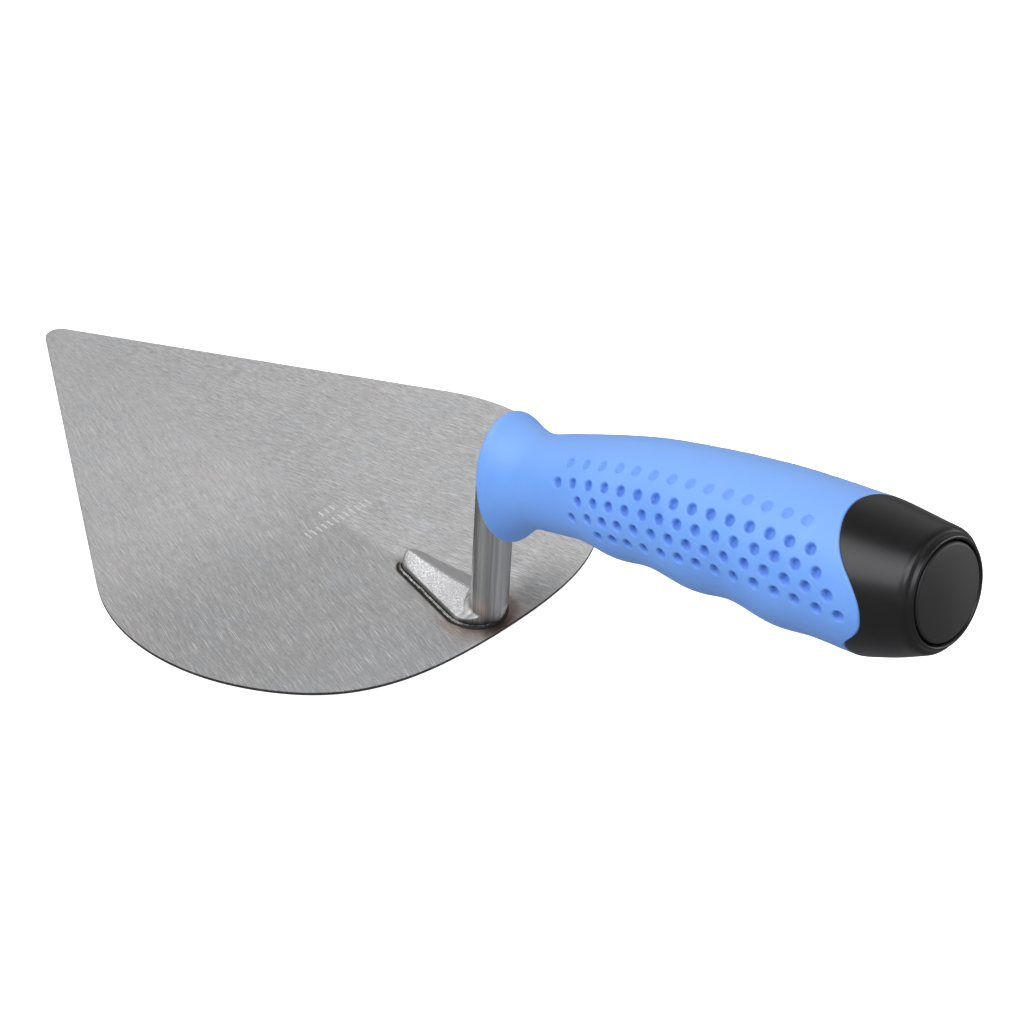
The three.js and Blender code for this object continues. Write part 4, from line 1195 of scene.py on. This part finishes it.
# ------------------------------------------------------------------ shank and weld steel
def shank_material():
    mat = Material("forged_shank_steel")
    x, y, z = mat.xyz(mat.mm)
    on_column, wall = mat.attribute("on_column"), mat.attribute("wall")
    # angle round the column, whose axis drifts in +X with height
    angle = mat.math("ARCTAN2", y, x - (COLUMN_X + z * 0.03))

    def streaks(around, along, seed, detail, rough):
        """lengthwise polish marks: noise scaled round and along the column"""
        return mat.noise(mat.combine(angle * around, z * along, seed), 1.0, detail, rough)
    lines = streaks(2.6, 0.008, 3.4, detail=3, rough=0.6)
    fine = streaks(16.0, 0.030, 9.0, detail=4, rough=0.7)
    facets = streaks(1.15, 0.004, 5.0, detail=1, rough=0.4)
    dark_lines = mat.remap(streaks(9.0, 0.012, 17.0, detail=1, rough=0.4), (0.36, 0.29))
    # column: streaky, darker low down, and painted lighter towards +Y, a painted highlight on the side towards the
    # rear light
    level = mat.remap(lines, (0.32, 0.68), to=(0.36, 1.0), smooth=False)
    level *= mat.remap(z, (4.0, 12.0), to=(0.66, 1.0))
    level *= 0.82 + fine * 0.36
    level *= mat.remap(angle, (-0.95, 0.20), to=(1.0, 1.55))
    level *= 1.0 - dark_lines * 0.42
    column = mat.shade((1, 1, 1.005), level)
    # shot-blasted foot: bright grain; the far face has a plainer grain and is painted darker, a painted shade on
    # the slope turned from the key light
    grain = mat.noise(mat.mm, scale=2.2, detail=3, rough=0.75)
    pits = mat.voronoi(mat.mm, scale=1.5)
    foot = mat.shade((1, 1, 1.015), mat.remap(grain, (0.32, 0.68), to=(0.36, 0.70))
                     * mat.remap(pits, (0.0, 0.45), to=(0.78, 1.06)))
    far = mat.remap(mat.xyz(mat.geometry("Normal"))[1], (0.10, 0.24))
    foot = mat.mix(far * 0.80, foot,
                   mat.shade((1, 1, 1.01), mat.remap(fine, (0.2, 0.8), to=(0.38, 0.49))))
    base = mat.mix(on_column, foot, column)
    # the foot's wall is painted dark as shade, darkest down at the weld: a painted shade in the crease
    wall_shade_level = (mat.remap(grain, (0.3, 0.7), to=(0.085, 0.135))
                  * mat.remap(z, (1.7, 2.7), to=(0.25, 1.0)))
    base = mat.mix(wall * 0.90, base, mat.shade((1, 1, 1.005), wall_shade_level))
    # soot at the column's root, with an uneven upper edge
    uneven = (mat.noise(mat.mm, scale=0.5, detail=3) - 0.5) * 1.2
    soot = mat.fade(z + uneven, (1.7, 4.4)) * on_column
    base = mat.mix(soot * 0.80, base, (0.035, 0.030, 0.028))
    # the fillet between foot and column is left rough
    column_rough = 0.22 + fine * 0.16
    foot_rough = mat.remap(grain, (0.3, 0.7), to=(0.62, 0.48))
    column_height = lines * 1.0 + (fine * 0.22 + facets * 1.6)
    foot_height = grain * 0.25 + pits * 0.2
    return mat.principled({
        "Base Color": base, "Metallic": 1.0 - wall * 0.8,
        "Roughness": mat.mix_number(on_column * mat.remap(z, (7.0, 11.0)), foot_rough,
                                    column_rough),
        "Normal": mat.bump(mat.mix_number(on_column, foot_height, column_height), strength=0.8,
                           distance_mm=0.22)})


def weld_material():
    mat = Material("weld_scale")
    across, rear, nose = [mat.attribute(name) for name in ("across", "rear", "nose")]
    coarse = mat.noise(mat.mm, scale=1.1, detail=4, rough=0.6)
    fine = mat.noise(mat.mm, scale=4.0, detail=4, rough=0.7)
    # bright crest of uneven width, narrow and patchy behind the column, faint at the nose
    width = mat.remap(coarse, (0.3, 0.7), to=(0.17, 0.25)) * (1.0 - rear * 0.50)
    crest = mat.fade(across, (width, width + 0.08))
    crest *= mat.remap(mat.noise(mat.mm, scale=0.45, detail=2), (0.28, 0.5), to=(0.62, 1.0))
    patches = mat.remap(mat.noise(mat.mm, scale=0.6, detail=2), (0.42, 0.60), to=(0.85, 0.25))
    crest *= 1.0 - rear * patches
    crest *= 1.0 - nose * 0.85
    black = mat.shade((1.0, 0.95, 0.90), mat.remap(fine, (0.3, 0.7), to=(0.010, 0.032)))
    black = mat.mix(nose * 0.8, black, (0.16, 0.155, 0.15))
    bright = mat.shade((1, 0.985, 0.95), mat.remap(fine, (0.3, 0.7), to=(0.30, 0.48)))
    return mat.principled({
        "Base Color": mat.mix(crest, black, bright),
        "Metallic": mat.mix_number(crest, 0.6, 1.0),
        "Roughness": mat.mix_number(crest, 0.58, 0.36),
        "Normal": mat.bump(coarse * 0.6 + fine * 0.4, strength=0.6, distance_mm=0.12)})


# ------------------------------------------------------------------ rubber, plastic and zinc
GRIP_BLUE, GRIP_LIGHT = srgb(108, 160, 241), srgb(115, 167, 246)
# GRIP_TOP_SHEEN is a painted sheen for the top; GRIP_DIMPLE_SHADE is the painted shade in the dimples
GRIP_TOP_SHEEN, GRIP_DIMPLE_SHADE = srgb(136, 181, 250), srgb(58, 106, 198)


def grip_material():
    mat = Material("soft_blue_rubber")
    x, y, z = mat.xyz(mat.mm)
    dimple_shade = mat.attribute("dimple_shade")
    cloud = mat.noise(mat.mm, scale=0.05, detail=3)
    grain = mat.noise(mat.mm, scale=3.2, detail=4, rough=0.65)
    flow = mat.noise(mat.combine(x * 0.02, y * 0.12, z * 0.12), detail=3)   # long in X
    base = mat.mix(mat.remap(cloud, (0.3, 0.7)), GRIP_BLUE, GRIP_LIGHT)
    base = mat.mix(mat.remap(flow, (0.35, 0.75)) * 0.25, base, GRIP_LIGHT)
    base = mat.shade(base, mat.remap(grain, (0.25, 0.75), to=(0.965, 1.03)))
    # the top is painted a little paler, a painted sheen from the light overhead
    up = mat.xyz(mat.geometry("Normal"))[2]
    base = mat.mix(mat.remap(up, (0.35, 0.95)) * 0.60, base, GRIP_TOP_SHEEN)
    # the dimples are painted darker, a painted shade in the hollows
    base = mat.mix(mat.remap(dimple_shade, (0.0, 1.0), smooth=False) * 0.92, base, GRIP_DIMPLE_SHADE)
    # sparse lengthwise scuffs
    scuff = mat.remap(mat.noise(mat.combine(x * 0.35, y * 2.0, z * 2.0), detail=2, rough=0.4),
                      (0.70, 0.80))
    height = grain * 0.5 + mat.noise(mat.mm, scale=9.0, detail=2) * 0.3 - scuff * 0.35
    return mat.principled({
        "Base Color": base, "Roughness": 0.44 + grain * 0.12, "Specular IOR Level": 0.38,
        "Subsurface Weight": 0.10, "Subsurface Radius": (0.4, 0.7, 1.6),
        "Subsurface Scale": 0.0009, "Sheen Weight": 0.06, "Sheen Roughness": 0.4,
        "Normal": mat.bump(height, strength=0.25, distance_mm=0.035)})


def plastic_material(name, level, roughness, seed, edge_wear_and_sheen):
    """black plastic; level is its brightness, or a pair from the -Y to the +Y side, which paints it lighter towards
    +Y as a painted highlight
    """
    mat = Material(name)
    x, y, z = mat.xyz(mat.mm)
    if isinstance(level, tuple):
        # a painted highlight: the colour is painted lighter from the -Y to the +Y side
        level = mat.remap(y, (-8.0, 13.0), to=level)
    grain = mat.noise(mat.vector_math("ADD", mat.mm, (seed, 0, 0)), scale=3.6, detail=4,
                      rough=0.65)
    cloud = mat.noise(mat.mm, scale=0.09, detail=3)
    base = mat.shade((1.0, 1.0, 1.03), level * (mat.remap(cloud, (0.3, 0.7), to=(0.93, 1.08))
                                                * mat.remap(grain, (0.3, 0.7), to=(0.9, 1.12))))
    # convex edges are painted greyer: rubbed wear and a painted highlight along the rims
    edges = mat.remap(mat.geometry("Pointiness"), (0.52, 0.60))
    base = mat.mix(edges * edge_wear_and_sheen, base, (0.10, 0.10, 0.103))
    # lengthwise swirls, turned off in both roughness and height
    swirl_gloss, swirl_depth = 0.0, 0.0
    swirl = mat.remap(mat.noise(mat.combine(x * 0.25, y * 1.6, z * 1.6), detail=3),
                      (0.60, 0.90))
    # faces that look up reflect a little less
    up = mat.xyz(mat.geometry("Normal"))[2]
    height = (grain * 0.6 + mat.noise(mat.mm, scale=10.0, detail=2) * 0.3
              - swirl * swirl_depth)
    return mat.principled({
        "Base Color": base, "Roughness": roughness + grain * 0.12 - swirl * swirl_gloss,
        "Specular IOR Level": mat.remap(up, (0.70, 0.96), to=(0.52, 0.26)),
        "Specular Tint": (0.97, 0.955, 1.0),
        "Normal": mat.bump(height, strength=0.22, distance_mm=0.03)})


def zinc_material():
    mat = Material("bright_zinc")
    x, y, z = mat.xyz(mat.mm)
    spangle = mat.voronoi(mat.mm, scale=0.7)
    fine = mat.noise(mat.mm, scale=3.0, detail=4, rough=0.6)
    turned = mat.noise(mat.combine(x * 3.0, z * 0.4, y * 0.4), detail=3)    # short in X
    base = mat.mix(mat.remap(spangle, (0.1, 0.8)), (0.62, 0.64, 0.66), (0.52, 0.53, 0.50))
    base = mat.shade(base, mat.remap(fine, (0.3, 0.7), to=(0.88, 1.08)))
    return mat.principled({
        "Base Color": base, "Metallic": 1.0, "Roughness": 0.24 + turned * 0.2,
        "Normal": mat.bump(fine + turned, strength=0.3, distance_mm=0.03)})


# ------------------------------------------------------------------ build
for build in (build_blade, build_shank, build_weld, build_grip, build_core, build_plug,
              build_washer, build_nut):
    build()

materials = {
    "blade": blade_material(), "shank": shank_material(), "weld_bead": weld_material(),
    "soft_grip": grip_material(),
    "handle_core": plastic_material("black_cap_plastic", level=0.0060, roughness=0.235,
                                    seed=0.0, edge_wear_and_sheen=0.35),
    # the end disc is painted lighter towards +Y, a painted highlight
    "end_plug": plastic_material("black_disc_plastic", level=(0.012, 0.040), roughness=0.38,
                                 seed=50.0, edge_wear_and_sheen=0.0),
    "tang_washer": zinc_material()}
materials["tang_nut"] = materials["tang_washer"]
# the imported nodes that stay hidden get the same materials
for node, material in materials.items():
    for obj in (built[node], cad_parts[node]):
        obj.data.materials.clear()
        obj.data.materials.append(material)


# ------------------------------------------------------------------ floor, light, camera
def floor_material():
    material = bpy.data.materials.new("pale_floor")
    graph = Graph(material)
    path = graph.node("LightPath")
    # the camera sees a glowing white floor
    seen = graph.node("AddShader", {
        0: graph.node("BsdfDiffuse", {"Color": (0.80, 0.80, 0.80)}),
        1: graph.node("Emission", {"Color": (1.0, 1.0, 1.0), "Strength": 0.90})})
    # what lights the trowel from below, and what its glossy faces mirror
    grey = graph.mix(path.output("Is Glossy Ray"), (0.52, 0.52, 0.525), (0.25, 0.25, 0.25))
    surface = graph.mix_shader(path.output("Is Camera Ray"),
                               graph.node("BsdfDiffuse", {"Color": grey}), seen)
    # seen from below, the floor isn't there
    gone = graph.math("MAXIMUM", graph.node("NewGeometry", output="Backfacing"),
                      path.output("Transparent Depth"), clamp=True)
    surface = graph.mix_shader(gone, surface, graph.node("BsdfTransparent"))
    graph.finish("ShaderNodeOutputMaterial", surface)
    return material


def build_floor(half=6.0, z=-0.0004):
    mesh = bpy.data.meshes.new("floor")
    mesh.from_pydata([(-half, -half, z), (half, -half, z), (half, half, z), (-half, half, z)],
                     [], [[0, 1, 2, 3]])
    obj = bpy.data.objects.new("floor", mesh)
    scene.collection.objects.link(obj)
    mesh.materials.append(floor_material())


def add_area_light(name, at, target, size, size_y, watts):
    data = bpy.data.lights.new(name, "AREA")
    data.shape = "RECTANGLE"
    data.size, data.size_y = size, size_y
    data.energy = watts
    data.color = (1, 1, 1)
    light = bpy.data.objects.new(name, data)
    scene.collection.objects.link(light)
    light.location = at
    light.rotation_mode = "QUATERNION"
    light.rotation_quaternion = (Vector(target) - Vector(at)).to_track_quat("-Z", "Y")


def build_world():
    world = bpy.data.worlds.new("studio")
    scene.world = world
    graph = Graph(world)
    direction = graph.node("TexCoord", output="Generated")
    ramp = graph.node("ValToRGB", {0: graph.xyz(direction)[2]})
    elements = ramp.socket.node.color_ramp.elements
    # upward part of the direction, and the sky's grey there
    stops = ((0.0, (0.40, 0.40, 0.405)), (0.62, (0.535, 0.535, 0.538)),
             (0.80, (0.34, 0.34, 0.3434)), (1.0, (0.26, 0.26, 0.2626)))
    for k, (position, colour) in enumerate(stops):
        element = elements[k] if k < 2 else elements.new(position)
        element.position = position
        element.color = (*colour, 1)

    def card(towards, span, strength):
        """soft round patch of sky of another strength; span is the cosine off its middle"""
        cosine = graph.vector_math("DOT_PRODUCT", direction, towards, "Value")
        return graph.remap(cosine, span, to=(1.0, strength))
    # a dark card towards -X, which the cap's top mirrors, and a wide bright one for the blade
    cards = (card((-0.874, 0.281, 0.396), span=(0.90, 0.98), strength=0.38)
             * card((-0.546, 0.578, 0.606), span=(0.70, 0.94), strength=1.55))
    sky = graph.node("Background", {0: ramp, 1: cards})
    white = graph.node("Background", {0: (1.0, 1.0, 1.0), 1: 1.0})
    graph.finish("ShaderNodeOutputWorld",
                 graph.mix_shader(graph.node("LightPath", output="Is Camera Ray"), sky, white))


def build_camera():
    data = bpy.data.cameras.new("camera")
    data.sensor_width = 36.0
    data.lens = 86.08341797
    data.clip_start, data.clip_end = 0.05, 20
    camera = bpy.data.objects.new("camera", data)
    scene.collection.objects.link(camera)
    elevation, azimuth, roll = [math.radians(a) for a in (37.3109, 43.3585, 1.8981)]
    target = np.array([TIP_X + 197.495, 46.712, 0.0])
    distance = 841.900
    back = np.array([math.sin(azimuth) * math.cos(elevation),
                     -math.cos(azimuth) * math.cos(elevation), math.sin(elevation)])
    right = np.cross([0, 0, 1.0], back)
    right /= np.linalg.norm(right)
    up = np.cross(back, right)
    place = Matrix.Identity(4)
    columns = (right * math.cos(roll) + up * math.sin(roll),
               -right * math.sin(roll) + up * math.cos(roll), back,
               (target + back * distance) * MM)
    for k, column in enumerate(columns):
        for row in range(3):
            place[row][k] = column[row]
    camera.matrix_world = place
    scene.camera = camera


build_floor()
add_area_light("key_softbox", at=(-0.52, -0.98, 1.08), target=(0.24, 0.0, 0.08), size=1.15,
               size_y=1.25, watts=11.0)
add_area_light("top_softbox", at=(0.65, -0.80, 1.50), target=(0.10, 0.0, 0.0), size=1.2,
               size_y=1.2, watts=14.0)
add_area_light("rear_strip", at=(1.10, 1.12, 0.16), target=(0.26, 0.0, 0.10), size=0.7,
               size_y=0.28, watts=3.5)
build_world()
scene.view_settings.view_transform = "Standard"
scene.view_settings.look = "None"
build_camera()
